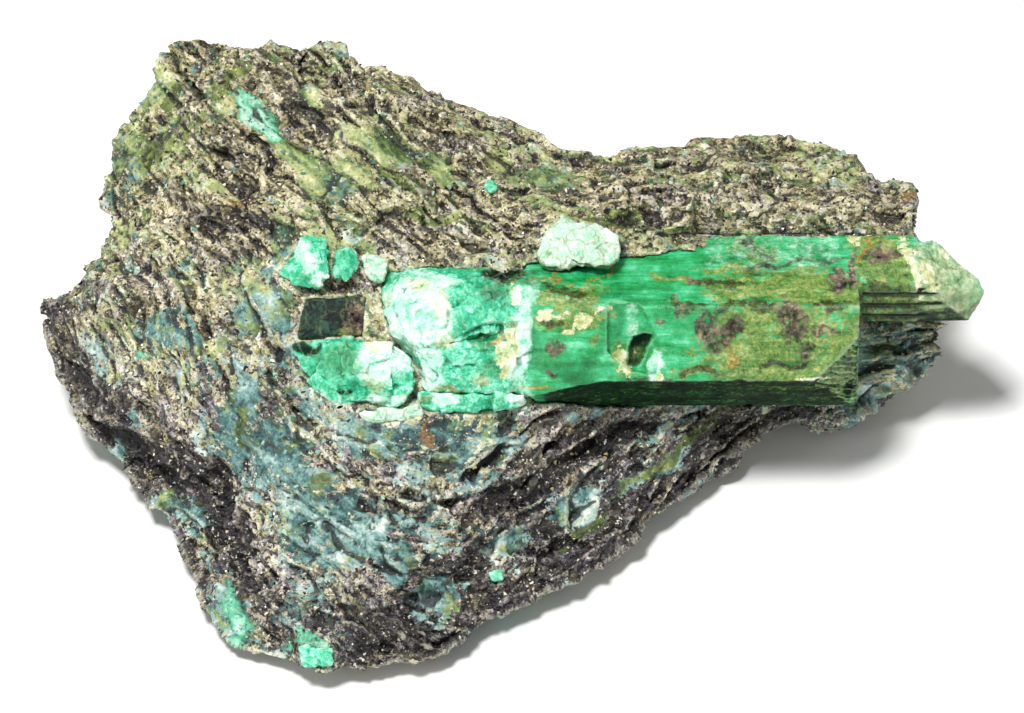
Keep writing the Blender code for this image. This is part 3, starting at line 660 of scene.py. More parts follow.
    # every flake lies its own way, the glassy parts less so
    tilts = [
        addNode(tree, "ShaderNodeVectorMath", {"operation": "MULTIPLY_ADD"}, {
            0: cells.outputs["Color"], 1: (tilt, tilt, tilt), 2: (-tilt / 2, -tilt / 2, -tilt / 2)})
        for cells, tilt in ((flecks, 0.9), (specks, 0.8))
    ]
    tilted = addNode(tree, "ShaderNodeVectorMath", {"operation": "ADD"}, {0: tilts[0], 1: tilts[1]})
    loose = addNode(tree, "ShaderNodeMapRange", {}, {"Value": glassShare, "To Min": 1.0, "To Max": 0.3})
    tilted = addNode(tree, "ShaderNodeVectorMath", {"operation": "SCALE"}, {0: tilted, "Scale": loose})
    surface = addNode(tree, "ShaderNodeNewGeometry")
    turned = addNode(tree, "ShaderNodeVectorMath", {"operation": "ADD"}, {
        0: surface.outputs["Normal"], 1: tilted})
    normal = addNode(tree, "ShaderNodeVectorMath", {"operation": "NORMALIZE"}, {0: turned})
    bump = addNode(tree, "ShaderNodeBump", {}, {
        "Strength": 0.6, "Distance": 0.25 * mm, "Height": crumb, "Normal": normal})
    rough = addNode(tree, "ShaderNodeMapRange", {}, {"Value": fleck[0], "To Min": 0.22, "To Max": 0.55})
    shader = addNode(tree, "ShaderNodeBsdfPrincipled", {}, {
        "Base Color": colour, "Roughness": rough, "IOR": 1.6, "Normal": bump})
    addNode(tree, "ShaderNodeOutputMaterial", {}, {"Surface": shader})
    return made


def makeSchist(crystals):
    stone = fineCopy("schist_matrix", "schist_carved", schist["voxel"])
    carveSchist(stone, crystals)
    # the chlorite's faces are smooth and glassy, the rest breaks into flat grains
    smoothWhere(stone, "chlorite", schist["smoothFrom"], 2.0)
    handIn(stone, "schist_matrix", schistMaterial())
    print("schist:", len(stone.data.polygons), "faces")
    return stone


looseGrains = {
    # the share each follows and how many to a square millimetre where that is 1; its smallest
    # and largest size and its thickness; how far it tilts, in radians
    "mica_flakes": {
        "share": "flakes", "perMm2": 1.5, "smallest": 0.3, "largest": 0.95, "thickness": 0.16,
        "tilt": 0.8, "seed": 3, "finish": "biotite flakes, cleaved", "rough": 0.2,
        "colours": [(0.0, "#141012"), (0.5, "#463a38"), (0.8, "#807264"), (1.0, "#c6b8a2")],
    },
    "feldspar_grains": {
        "share": "pale", "perMm2": 1.1, "smallest": 0.2, "largest": 0.9, "thickness": 0.8,
        "tilt": 3.1, "seed": 5, "finish": "feldspar grains, bruised", "rough": 0.5,
        "colours": [(0.0, "#9a9660"), (0.5, "#cfc894"), (1.0, "#fbf6e0")],
    },
    "green_grains": {
        "share": "green", "perMm2": 0.7, "smallest": 0.25, "largest": 1.1, "thickness": 0.7,
        "tilt": 3.1, "seed": 9, "finish": "chlorite grains, crushed", "rough": 0.25,
        "colours": [(0.0, "#2c5044"), (0.5, "#6c9a84"), (1.0, "#b9d8bb")],
    },
}


def grainShape(name, corners, seed):  # an angular chip one unit across
    chance = np.random.default_rng(seed)
    work = bmesh.new()
    for _ in range(corners):
        way = chance.normal(size=3)
        work.verts.new(way / np.linalg.norm(way) * 0.5 * chance.uniform(0.75, 1.0))
    bmesh.ops.convex_hull(work, input=work.verts)
    bmesh.ops.delete(work, geom=[v for v in work.verts if not v.link_faces], context="VERTS")
    bmesh.ops.recalc_face_normals(work, faces=work.faces)
    mesh = bpy.data.meshes.new(name)
    work.to_mesh(mesh)
    work.free()
    return bpy.data.objects.new(name, mesh)


def strewnTree():
    # Grains strewn over a surface, thickest where the share is 1, half sunk in it, each
    # turned its own way and with a tone of its own.
    tree = bpy.data.node_groups.new("strewn grains", "GeometryNodeTree")
    for name, kind in (
            ("Surface", "Geometry"), ("Grain", "Object"), ("Share", "String"), ("Per square metre", "Float"),
            ("Smallest", "Float"), ("Largest", "Float"), ("Thickness", "Float"), ("Tilt", "Float"),
            ("Seed", "Int"), ("Material", "Material")):
        tree.interface.new_socket(name=name, in_out="INPUT", socket_type="NodeSocket" + kind)
    tree.interface.new_socket(name="Grains", in_out="OUTPUT", socket_type="NodeSocketGeometry")
    given = addNode(tree, "NodeGroupInput").outputs
    share = addNode(tree, "GeometryNodeInputNamedAttribute", {"data_type": "FLOAT"}, {"Name": given["Share"]})
    density = addNode(tree, "ShaderNodeMath", {"operation": "MULTIPLY"}, {
        0: share.outputs["Attribute"], 1: given["Per square metre"]})
    points = addNode(tree, "GeometryNodeDistributePointsOnFaces", {}, {
        "Mesh": given["Surface"], "Density": density, "Seed": given["Seed"]})
    grain = addNode(tree, "GeometryNodeObjectInfo", {}, {"Object": given["Grain"]})
    tilt = addNode(tree, "ShaderNodeCombineXYZ", {}, {0: given["Tilt"], 1: given["Tilt"], 2: 3.14})
    back = addNode(tree, "ShaderNodeVectorMath", {"operation": "SCALE"}, {0: tilt, "Scale": -1.0})
    turn = addNode(tree, "FunctionNodeRandomValue", {"data_type": "FLOAT_VECTOR"}, {
        0: back, 1: tilt, "Seed": given["Seed"]})
    turned = addNode(tree, "FunctionNodeRotateRotation", {"rotation_space": "LOCAL"}, {
        0: points.outputs["Rotation"], 1: turn})
    # far more small grains than large ones
    chance, tone = (
        addNode(tree, "FunctionNodeRandomValue", {"data_type": "FLOAT"}, {"Seed": seed}).outputs[1]
        for seed in (given["Seed"], 77))
    small = addNode(tree, "ShaderNodeMath", {"operation": "POWER"}, {0: chance, 1: 2.5})
    size = addNode(tree, "ShaderNodeMapRange", {}, {
        "Value": small, "To Min": given["Smallest"], "To Max": given["Largest"]})
    slim = addNode(tree, "ShaderNodeMath", {"operation": "MULTIPLY"}, {0: size, 1: given["Thickness"]})
    narrow = addNode(tree, "ShaderNodeMath", {"operation": "MULTIPLY"}, {0: size, 1: 0.7})
    scale = addNode(tree, "ShaderNodeCombineXYZ", {}, {0: size, 1: narrow, 2: slim})
    strewn = addNode(tree, "GeometryNodeInstanceOnPoints", {}, {
        "Points": points, "Instance": grain.outputs["Geometry"], "Rotation": turned, "Scale": scale})
    toned = addNode(tree, "GeometryNodeStoreNamedAttribute", {"data_type": "FLOAT", "domain": "INSTANCE"}, {
        "Geometry": strewn, "Name": "tone", "Value": tone})
    real = addNode(tree, "GeometryNodeRealizeInstances", {}, {0: toned})
    dressed = addNode(tree, "GeometryNodeSetMaterial", {}, {"Geometry": real, "Material": given["Material"]})
    addNode(tree, "NodeGroupOutput", {}, {0: dressed})
    return tree


def grainMaterial(name, stops, rough):
    # Single grains: cleaved mica that flashes, dull bruised feldspar, glassy green crumbs.
    made, tree = newMaterial(name)
    tone = addNode(tree, "ShaderNodeAttribute", {"attribute_name": "tone"}).outputs["Fac"]
    colour = addNode(tree, "ShaderNodeValToRGB", {"stops": stops}, {0: tone})
    shader = addNode(tree, "ShaderNodeBsdfPrincipled", {}, {
        "Base Color": colour, "Roughness": rough, "IOR": 1.58})
    addNode(tree, "ShaderNodeOutputMaterial", {}, {"Surface": shader})
    return made


def makeLooseGrains(stone):
    tree = strewnTree()
    sockets = {item.name: item.identifier for item in tree.interface.items_tree if item.in_out == "INPUT"}
    for name, kind in looseGrains.items():
        material = grainMaterial(kind["finish"], kind["colours"], kind["rough"])
        grain = grainShape(name + ".grain", 10, kind["seed"])
        host = linked(name + ".host", stone.data)
        strew = host.modifiers.new("strew", "NODES")
        strew.node_group = tree
        given = {
            "Grain": grain, "Share": kind["share"], "Per square metre": kind["perMm2"] / mm ** 2,
            "Smallest": kind["smallest"] * mm, "Largest": kind["largest"] * mm,
            "Thickness": kind["thickness"], "Tilt": kind["tilt"], "Seed": kind["seed"], "Material": material,
        }
        for key, value in given.items():
            strew[sockets[key]] = value
        mesh = evaluated(host)
        bpy.data.objects.remove(host)
        bpy.data.objects.remove(grain)
        mesh.name = name
        handIn(linked(name, mesh), "schist_matrix", material)
        print(name + ":", len(mesh.polygons), "faces")


beryl = {
    "voxel": 0.21,  # millimetres
    "smallVoxel": 0.14,
    "triangles": 130000,
    "keepGrown": 60.0,  # how far the thinning spares the grown faces
    "splinters": 0.25,  # the share of the broken pieces' fine faces that is kept
    "flatFrom": 0.5,  # how broken it is where its faces are flat splinters
    "splinterDepth": 1.1,
    # how many to a millimetre: the noises that colour it, and its chips
    "perMm": {
        "streaks": 1.1, "clouds": 0.5, "sugar": 2.2, "frays": 0.9, "shaken": 3.0, "bending": 1.2,
        "chips": 2.4,
    },
    # patches on the crystals' faces: u, v, half length, half width, turn
    "deep": [
        (-2.5, 8.5, 3.4, 0.6, 0), (0.5, 7.6, 2.4, 0.6, 0), (-1.6, 6.4, 1.6, 0.7, -10),
        (11.4, 5.5, 2.2, 0.7, 0), (6, -1.4, 3, 1.2, 0), (-16.8, -0.4, 2.4, 1.6, 0),
        # (10.6, 3.2) darkens the notch's shaded left side: painted shade
        (-2.6, 1.3, 1.4, 1.2, 0), (10.6, 3.2, 0.6, 1.8, 0), (-1.8, -1.4, 1.8, 0.8, 0),
        (20.5, 0.5, 2.4, 3.6, 0), (2.4, 1, 0.8, 2.4, 0), (30.4, 10.6, 1.6, 0.6, 0),
    ],
    "yellow": [
        (26.6, 0.9, 8, 5, 0), (29, 6.8, 6.4, 1.8, 0), (5.8, 6.1, 3.6, 1.2, 0), (24.4, 10.4, 2.4, 0.9, -12),
        (22.4, 6.6, 3, 1.4, 0), (31, 6.2, 3, 1.4, 0), (32.6, -2.6, 2.4, 2.4, 45), (33.8, 2, 0.8, 6, 0),
        (42.4, 7.8, 1.2, 1.4, 0), (37.4, 9.2, 3.2, 2.8, 0), (38, 5.4, 6, 2.2, 0), (35.2, 11.2, 2, 0.9, 0),
        (43.6, 5, 2, 1.4, 0), (18, 7.4, 3, 0.5, -10), (11.2, -0.4, 1, 1.8, 0), (18.6, -1.8, 3, 0.5, 0),
        (6, 4, 3.6, 1, 0), (22, 8.6, 3, 0.5, 0), (-16.2, 2.6, 1.2, 0.8, 0), (-12.4, 2.6, 1.6, 0.7, 20),
        (8, 1.6, 0.6, 0.8, 0), (14.6, 7.8, 1, 0.3, 0),
    ],
    "olive": [
        (39, 5.1, 5.6, 1.7, 0), (5, 6.7, 3, 0.5, -4), (23.4, 10.9, 0.7, 0.7, 20),
        (25.6, 10.1, 1.1, 0.3, -15), (26.8, 9.3, 1.6, 0.25, 0), (43.8, 5.8, 1.4, 0.8, -10),
        (44.4, 8.4, 1.6, 0.3, -50), (33.4, -1, 0.4, 1.2, 0), (14, -2.6, 3, 0.4, 0), (28, -0.6, 3, 0.3, 10),
        (31.6, 5.6, 1.5, 0.5, 0), (19, -1.8, 2, 0.4, 0), (30, 9.4, 3, 0.3, 0), (4.2, 3.8, 0.7, 0.5, 0),
        (8.6, 4.2, 0.6, 0.4, 0), (22.4, 4.8, 2.6, 0.5, 0), (36.6, 7, 2, 0.5, 0), (-1.4, 7.8, 1.4, 0.5, 0),
        (25, 4.6, 1.4, 0.6, 0), (17.4, 5.2, 2.4, 0.3, 0), (21, 7.2, 1.8, 0.4, -6),
    ],
    "milky": [
        (-9.6, 4.4, 3.1, 3.9, 0), (-7.6, 7, 1.6, 0.8, -12), (-6.6, 3.2, 1, 1.8, 0),
        (0.8, 1.6, 1.1, 5.2, -8), (-12.8, 0.4, 2.5, 2.5, 0), (-18.8, -4.6, 1.4, 1, -10),
        (-8.2, -1, 1.4, 2, 0), (-13.6, -4.6, 3, 0.8, 10), (14.3, -1.3, 0.7, 2, -14),
        (-20.4, 10, 0.8, 1.6, 20), (-19, 7.6, 0.9, 0.9, 0), (-6.6, -4, 1.5, 0.6, 0),
        (0.2, -4.4, 1.2, 0.5, 0), (-26, 9.6, 1.6, 0.7, 30), (-28, 8.6, 0.8, 1.2, 0),
        (-20.4, 9.4, 0.8, 1, 0),
    ],
    "frosty": [
        (43.6, 8.2, 3.6, 4, 0), (-11.6, 5.4, 1.4, 1.2, 0), (-6.6, 1.4, 1.2, 1, 0), (-3.4, -2.6, 1, 0.6, 0),
        (-13.4, -1.8, 1.2, 1.6, 0), (-9.4, -3.8, 2, 0.4, -4),
    ],
    "cream": [
        (-0.6, 0.6, 1, 2.8, -4), (-6.8, 4.6, 0.8, 1.4, 10), (4, 4.5, 1.1, 0.5, 0), (6.6, 4.1, 0.9, 0.8, 0),
        (8.8, 4.4, 0.9, 0.4, 0), (5.4, 2.9, 0.6, 0.3, 0), (11.2, -0.5, 0.7, 1.5, 0),
        (39.9, 9, 0.6, 2.8, 20), (0.3, 6, 0.5, 1.3, 20), (-9.8, 7.4, 1.2, 0.5, 0),
        (-13.6, 1.6, 1.4, 0.8, 0), (14.8, -2.4, 0.5, 0.6, 0), (34, 11.6, 0.5, 0.4, 0),
        (41.4, 8, 0.6, 1.8, 30), (43, 10, 0.8, 0.4, -40), (29.6, -2.2, 1.8, 0.2, 12),
    ],
    "dark": [
        (-1, 8.1, 2.2, 0.5, 0), (-20.6, 0.7, 1.8, 0.7, -8), (-16.5, -3.7, 0.6, 0.2, 0),
        (33.9, -3, 0.4, 0.8, 0), (36.8, 10.2, 1.2, 0.45, 12), (33.4, 8.4, 0.25, 1.5, -12),
        (32, 7.7, 0.7, 0.5, -30),
    ],
    "rust": [
        (3.2, 7.6, 2.8, 0.16, 2), (7.2, 7.4, 1.7, 0.16, 8), (9.9, 8.3, 1, 0.16, 62),
        (14.4, 11, 0.8, 0.4, -30), (-7, -3.1, 2.6, 0.12, -8), (1.4, -3.4, 2, 0.14, 4),
        (-1.4, 1.4, 1.2, 0.3, 60), (22, 0.6, 0.5, 1.2, 10), (35, 10.4, 1.2, 0.3, 70),
        (-14.8, 2, 1.4, 0.2, 0),
    ],
    "mica": [
        (19.5, 2.5, 1.3, 2.2, 8), (21.8, 2.4, 1.2, 1, 0), (27.9, 3.6, 1.3, 2.3, 14),
        (30.7, 2.6, 1.3, 0.5, 0), (29.5, 0.5, 0.5, 0.9, 0), (16.7, 4.7, 0.8, 0.5, 0),
        (14.7, 3.9, 0.3, 0.3, 0), (30.3, 5.3, 0.6, 0.3, 0), (4.4, 1.4, 0.8, 0.7, -20),
        (3.8, -1.8, 0.5, 0.4, 0), (16.1, 8.1, 0.6, 0.15, -15), (18.5, 7.2, 1.2, 0.35, -20),
        (15.9, 5.4, 0.5, 0.14, -20), (33.6, 8.9, 0.5, 2, -10), (31.8, 8, 0.9, 1, -30),
        (36.9, 10.1, 1.6, 0.8, 0), (25, 9.1, 2, 0.4, 0), (-15.4, 3.4, 1.6, 1.8, 0),
    ],
}

# The stains and layers on the beryl, the lowest first; dark and olive also carry painted shade,
# and milky painted highlight, where dressBeryl lays them by shape. Each has the noise its colour follows,
# its colours from dark to light, how ragged its edge is, how much of it covers, how soft its
# edge is, and whether it comes off in chips.
stains = {
    "deep": ("mixed", [(0.38, "#03552c"), (0.5, "#158a4a"), (0.62, "#3cb878")], 2.0, 0.8, 0.9, False),
    "yellow": (
        "speckled",
        [(0.38, "#243a0c"), (0.46, "#55782a"), (0.53, "#8fa04a"), (0.6, "#cfc67e"), (0.68, "#efe6b4")],
        3.0, 0.9, 0.7, True),
    "olive": (
        "speckled", [(0.4, "#0a1304"), (0.5, "#2e3e10"), (0.58, "#657a28"), (0.66, "#a6aa50")],
        3.2, 0.9, 0.7, True),
    "frosty": (
        "torn", [(0.36, "#6c9460"), (0.46, "#98b482"), (0.56, "#c4d2a4"), (0.66, "#f2f0d0")],
        1.6, 0.85, 0.9, False),
    "milky": (
        "torn", [(0.34, "#6fd6ac"), (0.44, "#b4f2d6"), (0.54, "#eafff3"), (0.66, "#fffff8")],
        2.4, 0.92, 0.8, False),
    "cream": ("torn", [(0.36, "#b0bc6c"), (0.46, "#dcdfa6"), (0.58, "#fffde6")], 3.6, 0.92, 0.5, True),
    "dark": (
        "speckled", [(0.43, "#000000"), (0.5, "#081306"), (0.55, "#1c4420"), (0.61, "#6a8a3a")],
        2.8, 0.97, 0.5, False),
    "rust": ("fine", [(0.35, "#5a4010"), (0.5, "#a8842e"), (0.62, "#d8b866")], 3.0, 0.7, 0.6, True),
    "mica": (
        "torn", [(0.36, "#140d10"), (0.44, "#44363a"), (0.52, "#75655a"), (0.62, "#b0a27c")],
        4.0, 0.88, 0.6, True),
}


def splinter(places):  # inside the leaning slot of the splinter that is missing, 0 to 1
    u, v, w = places.T
    u = u + 0.35 * smoothNoise(places, 1.1, 85, 2)
    v = v + 0.35 * smoothNoise(places, 1.1, 87, 2)
    along = (v - 2.2) / 3.3  # 0 at the top to -1 at the bottom
    middle = 13.0 + 1.1 * along
    wide = 0.95 + 0.45 * along
    inside = smoothStep(wide + 0.15, wide - 0.15, np.abs(u - middle))
    return inside * smoothStep(2.3, 2.0, v) * smoothStep(-1.6, -0.6, v) * (w > 0.0)


def lostCorner(places):  # how far past the break at the front column's lower east corner, in millimetres
    u, v = places[:, 0], places[:, 1]
    past = 0.676 * (u - 29.8) - 0.737 * (v + 2.25) + 0.35 * smoothNoise(places, 1.3, 95, 2)
    return np.where((u < 36.0) * (v < 3.0), past, -1.0)


def fillCore(mesh, core):
    # The crushed core is grown together, so its gaps are filled, and its pocket is shallow.
    outOfFace = faceAxes()[2]
    points = readVectors(mesh, "co")
    for _ in range(30):
        normals = readVectors(mesh, "normal")
        gap = ((neighbourMean(mesh, points, 10) - points) * normals).sum(axis=1)
        points = points + normals * (1.2 * np.maximum(gap, 0.0) * core)[:, None]
        writePoints(mesh, points)
    u, v, w = toFace(points).T
    pocket = (u > -8.0) * (u < 0.2) * (v > 0.9) * (v < 4.2) * (w > -4.0) * (normals @ outOfFace > -0.2)
    return points + np.outer(pocket * np.maximum(2.7 + 0.05 * (v - 1.0) - w, 0.0) * mm, outOfFace)


def crystalRelief(places, core, broken):  # how far the surface stands out, in millimetres
    u, v = places[:, 0], places[:, 1]
    whole = 1.0 - broken
    # growth lines run along the columns
    across = places * np.array([0.04, 1.0, 1.0])
    relief = whole * (0.05 * smoothNoise(across, 0.7, 3, 2) + 0.07 * smoothNoise(across, 2.4, 9))
    relief += whole * 0.10 * smoothNoise(places, 4.0, 12, 2)
    relief += whole * 0.05 * facets(places * np.array([0.5, 1.0, 1.0]), 2.2, 14, 1.0)[0]
    # the broken ends are stepped and splintered
    bent = places + 0.5 * noiseVector(places, 2.0, 15, 2)
    splinters = 0.36 * facets(bent, 2.8, 19, 1.2)[0] + 0.16 * facets(bent, 0.9, 29, 1.1)[0]
    relief += core * 0.16 + broken * splinters
    # the east half is worn and pitted, but not the terraces
    worn = whole * smoothStep(17.0, 20.0, u)
    relief -= worn * 0.22 * smoothStep(0.1, 0.7, smoothNoise(places * np.array([0.6, 1.0, 1.0]), 1.1, 37, 3))
    relief += worn * 0.10 * (grains(places, 0.8, 43) - 0.25)
    relief *= 1.0 - 0.75 * smoothStep(34.6, 35.4, u) * smoothStep(6.9, 6.4, v)
    # ribs on the east end of the front column
    end = smoothStep(31.8, 33.6, u) * smoothStep(35.6, 34.9, u) * smoothStep(3.6, 2.2, v)
    return relief + end * 0.13 * smoothNoise(places * np.array([0.2, 1.0, 1.0]), 0.38, 41, 2)


def carveCrystal(crystal):
    mesh = crystal.data
    outOfFace = faceAxes()[2]
    u, v, w = toFace(readVectors(mesh, "co")).T
    core = smoothStep(2.4, 0.9, u)
    tip = smoothStep(39.4, 40.6, u) * smoothStep(6.4, 7.2, v)
    broken = np.clip(core + tip, 0.0, 1.0)
    points = fillCore(mesh, core)
    points = smoothed(mesh, points, 0.9 * broken[:, None], 4)
    writePoints(mesh, points)
    normals = readVectors(mesh, "normal")
    places = toFace(points)
    points = raised(points, normals, crystalRelief(places, core, broken))
    # the lower east corner of the front column is broken off in ridges
    lost = lostCorner(toFace(points))
    u, v, w = toFace(points).T
    ridges = v / 0.55 + 0.5 * smoothNoise(places, 0.9, 89, 2)
    left = 3.2 + 0.19 * v - 1.3 * lost - 0.6 * (ridges - np.floor(ridges)) * smoothStep(0.0, 0.3, lost)
    points = points + np.outer((lost > 0.0) * np.minimum(left - w, 0.0) * mm, outOfFace)
    # a splinter has come out of the notch
    points = points - np.outer(beryl["splinterDepth"] * mm * splinter(places), outOfFace)
    writePoints(mesh, smoothed(mesh, points, 0.4 * broken[:, None]))
    dressBeryl(crystal, broken)
    thinned(crystal, beryl["triangles"], 1.0 - broken, beryl["keepGrown"])
    smoothWhere(crystal, "broken", -1.0, beryl["flatFrom"])


def carveFragment(piece, size, depth):
    mesh = piece.data
    points = neighbourMean(mesh, readVectors(mesh, "co"), 1)
    wander = noiseVector(toFace(points), 2.2, 45, 2) * np.array([0.45, 0.45, 0.0])
    points = points + wander @ faceAxes() * mm
    writePoints(mesh, points)
    normals = readVectors(mesh, "normal")
    places = toFace(points)
    bent = places + 0.3 * noiseVector(places, 1.5, 15, 2)
    chips = 0.45 * facets(bent, size, 61, 1.2)[0] + 0.2 * facets(bent, size * 0.4, 67, 1.1)[0]
    points = raised(points, normals, 0.2 + depth * chips)
    writePoints(mesh, smoothed(mesh, points, 0.4))
    dressBeryl(piece, np.ones(len(points)))
    thinned(piece, len(mesh.polygons) * 2 * beryl["splinters"], np.zeros(len(points)), 1.0)
    smoothWhere(piece, "broken", -1.0, beryl["flatFrom"])


def dressBeryl(piece, broken):
    mesh = piece.data
    points = readVectors(mesh, "co")
    normals = readVectors(mesh, "normal")
    places = toFace(points)
    bent = places + 1.1 * noiseVector(places, 3.2, 111, 3) + 0.3 * noiseVector(places, 0.7, 123)
    u, v, w = places.T
    shares = {name: patchShare(bent, beryl[name]) for name in stains}
    sunk = (u > 9.2) * (u < 15.2) * (v > -2.6) * (v < 5.2) * (3.17 + 0.19 * v - w)  # depth of the notch
    under = -(normals @ faceAxes()[1]) * (u > 1.0)
    slot = splinter(places)
    # painted shade: dark on the underside that faces down, deep in the notch and up the splinter's slot; dark
    # olive on the east underside, the terraces and in the slot
    more = (
        ("dark", smoothStep(0.55, 0.85, under) * smoothStep(1.0, 5.0, u)),
        ("dark", smoothStep(2.4, 3.4, sunk)),
        ("dark", 0.8 * slot * smoothStep(0.2, 2.2, v)),
        ("olive", smoothStep(0.3, 0.6, under) * smoothStep(33.0, 35.0, u)),
        # the terraces, painted dark olive as the shade under their steps
        ("olive", smoothStep(34.4, 34.8, u) * smoothStep(6.8, 6.2, v) * smoothStep(45.0, 41.0, u)),
        ("olive", 0.85 * slot),
        # painted highlight: the notch's lit side and the rear column's top made pale
        ("milky", 0.45 * smoothStep(10.6, 12.0, u) * smoothStep(12.8, 12.2, u) * (v > 2.0) * (v < 5.2)),
        ("milky", 0.3 * smoothStep(18.0, 20.0, u) * smoothStep(33.5, 32.0, u) * (v > 8.9)),
    )
    for name, share in more:
        shares[name] = np.maximum(shares[name], share)
    for name, share in shares.items():
        writeShare(mesh, name, share)
    writeShare(mesh, "broken", broken)
    # how far the surface bulges: the material paints ridges light as a highlight and creases dark as shade
    bulge = ((points - neighbourMean(mesh, points, 4)) * normals).sum(axis=1) / (mm * 0.12)
    writeShare(mesh, "edge", 0.5 + 0.5 * bulge)


def berylMaterial(name, looks):
    # Beryl with chromium green, cloudy with flaws: glassy where it grew, sugary where it broke.
    made, tree = newMaterial(name)
    place = millimetres(tree)
    perMm = beryl["perMm"]
    at = {
        name: addNode(tree, "ShaderNodeAttribute", {"attribute_name": name}).outputs["Fac"]
        for name in ("broken", "edge", *stains)
    }
    streaked = addNode(tree, "ShaderNodeVectorMath", {"operation": "MULTIPLY"}, {
        0: place, 1: (0.12, 1.0, 1.0)})
    streak, cloud, fine, fray = (
        addNode(tree, "ShaderNodeTexNoise", {}, {
            "Vector": vector, "Scale": perMm[name], "Detail": 6.0, "Roughness": rough}).outputs[0]
        for name, vector, rough in (
            ("streaks", streaked, 0.75), ("clouds", place, 0.68), ("sugar", place, 0.8),
            ("frays", place, 0.75)))
    shaken, bending = (
        addNode(tree, "ShaderNodeTexNoise", {}, {"Vector": place, "Scale": perMm[name], "Detail": detail})
        for name, detail in (("shaken", 3.0), ("bending", 4.0)))
    chips = addNode(tree, "ShaderNodeTexVoronoi", {}, {
        "Vector": bentBy(tree, place, shaken, 0.8), "Scale": perMm["chips"]})
    chip = addNode(tree, "ShaderNodeSeparateColor", {}, {0: chips.outputs["Color"]}).outputs
    mixed = weigh(tree, [(streak, 0.5), (cloud, 0.5)])
    numbers = {
        "mixed": mixed,
        "speckled": weigh(tree, [(mixed, 0.5), (fine, 0.5)]),
        "torn": weigh(tree, [(cloud, 0.55), (fine, 0.35), (at["edge"], 0.12), (chip[1], 0.12)], -0.08),
        "fine": fine,
    }
    ragged = weigh(tree, [(fray, 0.6), (fine, 0.4)])
    grown = addNode(tree, "ShaderNodeValToRGB", {"stops": looks["grown"]}, {0: mixed})
    broken = addNode(tree, "ShaderNodeValToRGB", {"stops": looks["broken"]}, {0: numbers["torn"]})
    colour = addNode(tree, "ShaderNodeMixRGB", {}, {"Fac": at["broken"], "Color1": grown, "Color2": broken})
    for stain, (number, stops, rough, most, soft, chipped) in stains.items():
        share = weigh(tree, [(at[stain], 1.0), (ragged, rough)], -0.5 * rough)
        if chipped:
            share = weigh(tree, [(share, 1.0), (chip[0], 0.8)], -0.4)
        # none at all outside its patches
        inside = addNode(tree, "ShaderNodeMapRange", {"interpolation_type": "SMOOTHSTEP"}, {
            "Value": at[stain], "From Min": 0.0, "From Max": 0.25})
        share = addNode(tree, "ShaderNodeMath", {"operation": "MULTIPLY"}, {0: share, 1: inside})
        over = addNode(tree, "ShaderNodeValToRGB", {"stops": stops}, {0: numbers[number]})
        colour = layOver(tree, colour, over, share, 0.5 - soft / 2.0, 0.5 + soft / 2.0, most)
    # fine cracks between cells, each cell a little lighter or darker
    bent = bentBy(tree, place, bending, 1.2)
    cells = addNode(tree, "ShaderNodeTexVoronoi", {}, {"Vector": bent, "Scale": looks["cellsPerMm"]})
    cell = addNode(tree, "ShaderNodeSeparateColor", {}, {0: cells.outputs["Color"]})
    paler = addNode(tree, "ShaderNodeMapRange", {}, {"Value": cell, "To Max": looks["cells"]})
    colour = addNode(tree, "ShaderNodeMixRGB", {}, {
        "Fac": paler, "Color1": colour, "Color2": looks["cellColour"]})
    crazing = addNode(tree, "ShaderNodeTexVoronoi", {"feature": "DISTANCE_TO_EDGE"}, {
        "Vector": bent, "Scale": looks["cellsPerMm"]})
    cracks = addNode(tree, "ShaderNodeMapRange", {"interpolation_type": "SMOOTHSTEP"}, {
        "Value": weigh(tree, [(crazing, -12.0), (fine, 3.0)], -0.75), "From Max": 0.8,
        "To Max": looks["cracks"]})
    cracks = addNode(tree, "ShaderNodeMath", {"operation": "MULTIPLY"}, {0: cracks, 1: at["broken"]})
    colour = addNode(tree, "ShaderNodeMixRGB", {}, {
        "Fac": cracks, "Color1": colour, "Color2": looks["crackColour"]})
    # painted highlight on ridges and painted shade in creases, from how far the surface bulges
    colour = layOver(tree, colour, looks["paintedEdgeHighlight"], at["edge"], 0.64, 1.0, 0.2)
    colour = layOver(tree, colour, looks["paintedCreviceShade"], at["edge"], 0.36, 0.05, 0.55)
    bump = addNode(tree, "ShaderNodeBump", {}, {"Strength": 0.45, "Distance": 0.3 * mm, "Height": fine})
    dull = addNode(tree, "ShaderNodeMath", {"operation": "MAXIMUM"}, {0: at["dark"], 1: at["mica"]})
    rough = weigh(tree, [(fine, 0.3), (dull, 0.45)], 0.12)
    gloss = addNode(tree, "ShaderNodeMapRange", {}, {"Value": dull, "To Min": looks["gloss"], "To Max": 0.08})
    shader = addNode(tree, "ShaderNodeBsdfPrincipled", {}, {
        "Base Color": colour, "Roughness": rough, "IOR": 1.58, "Specular IOR Level": gloss, "Normal": bump,
        "Subsurface Weight": looks["glow"], "Subsurface Radius": (0.3, 1.0, 0.6), "Subsurface Scale": mm})
    addNode(tree, "ShaderNodeOutputMaterial", {}, {"Surface": shader})
    return made


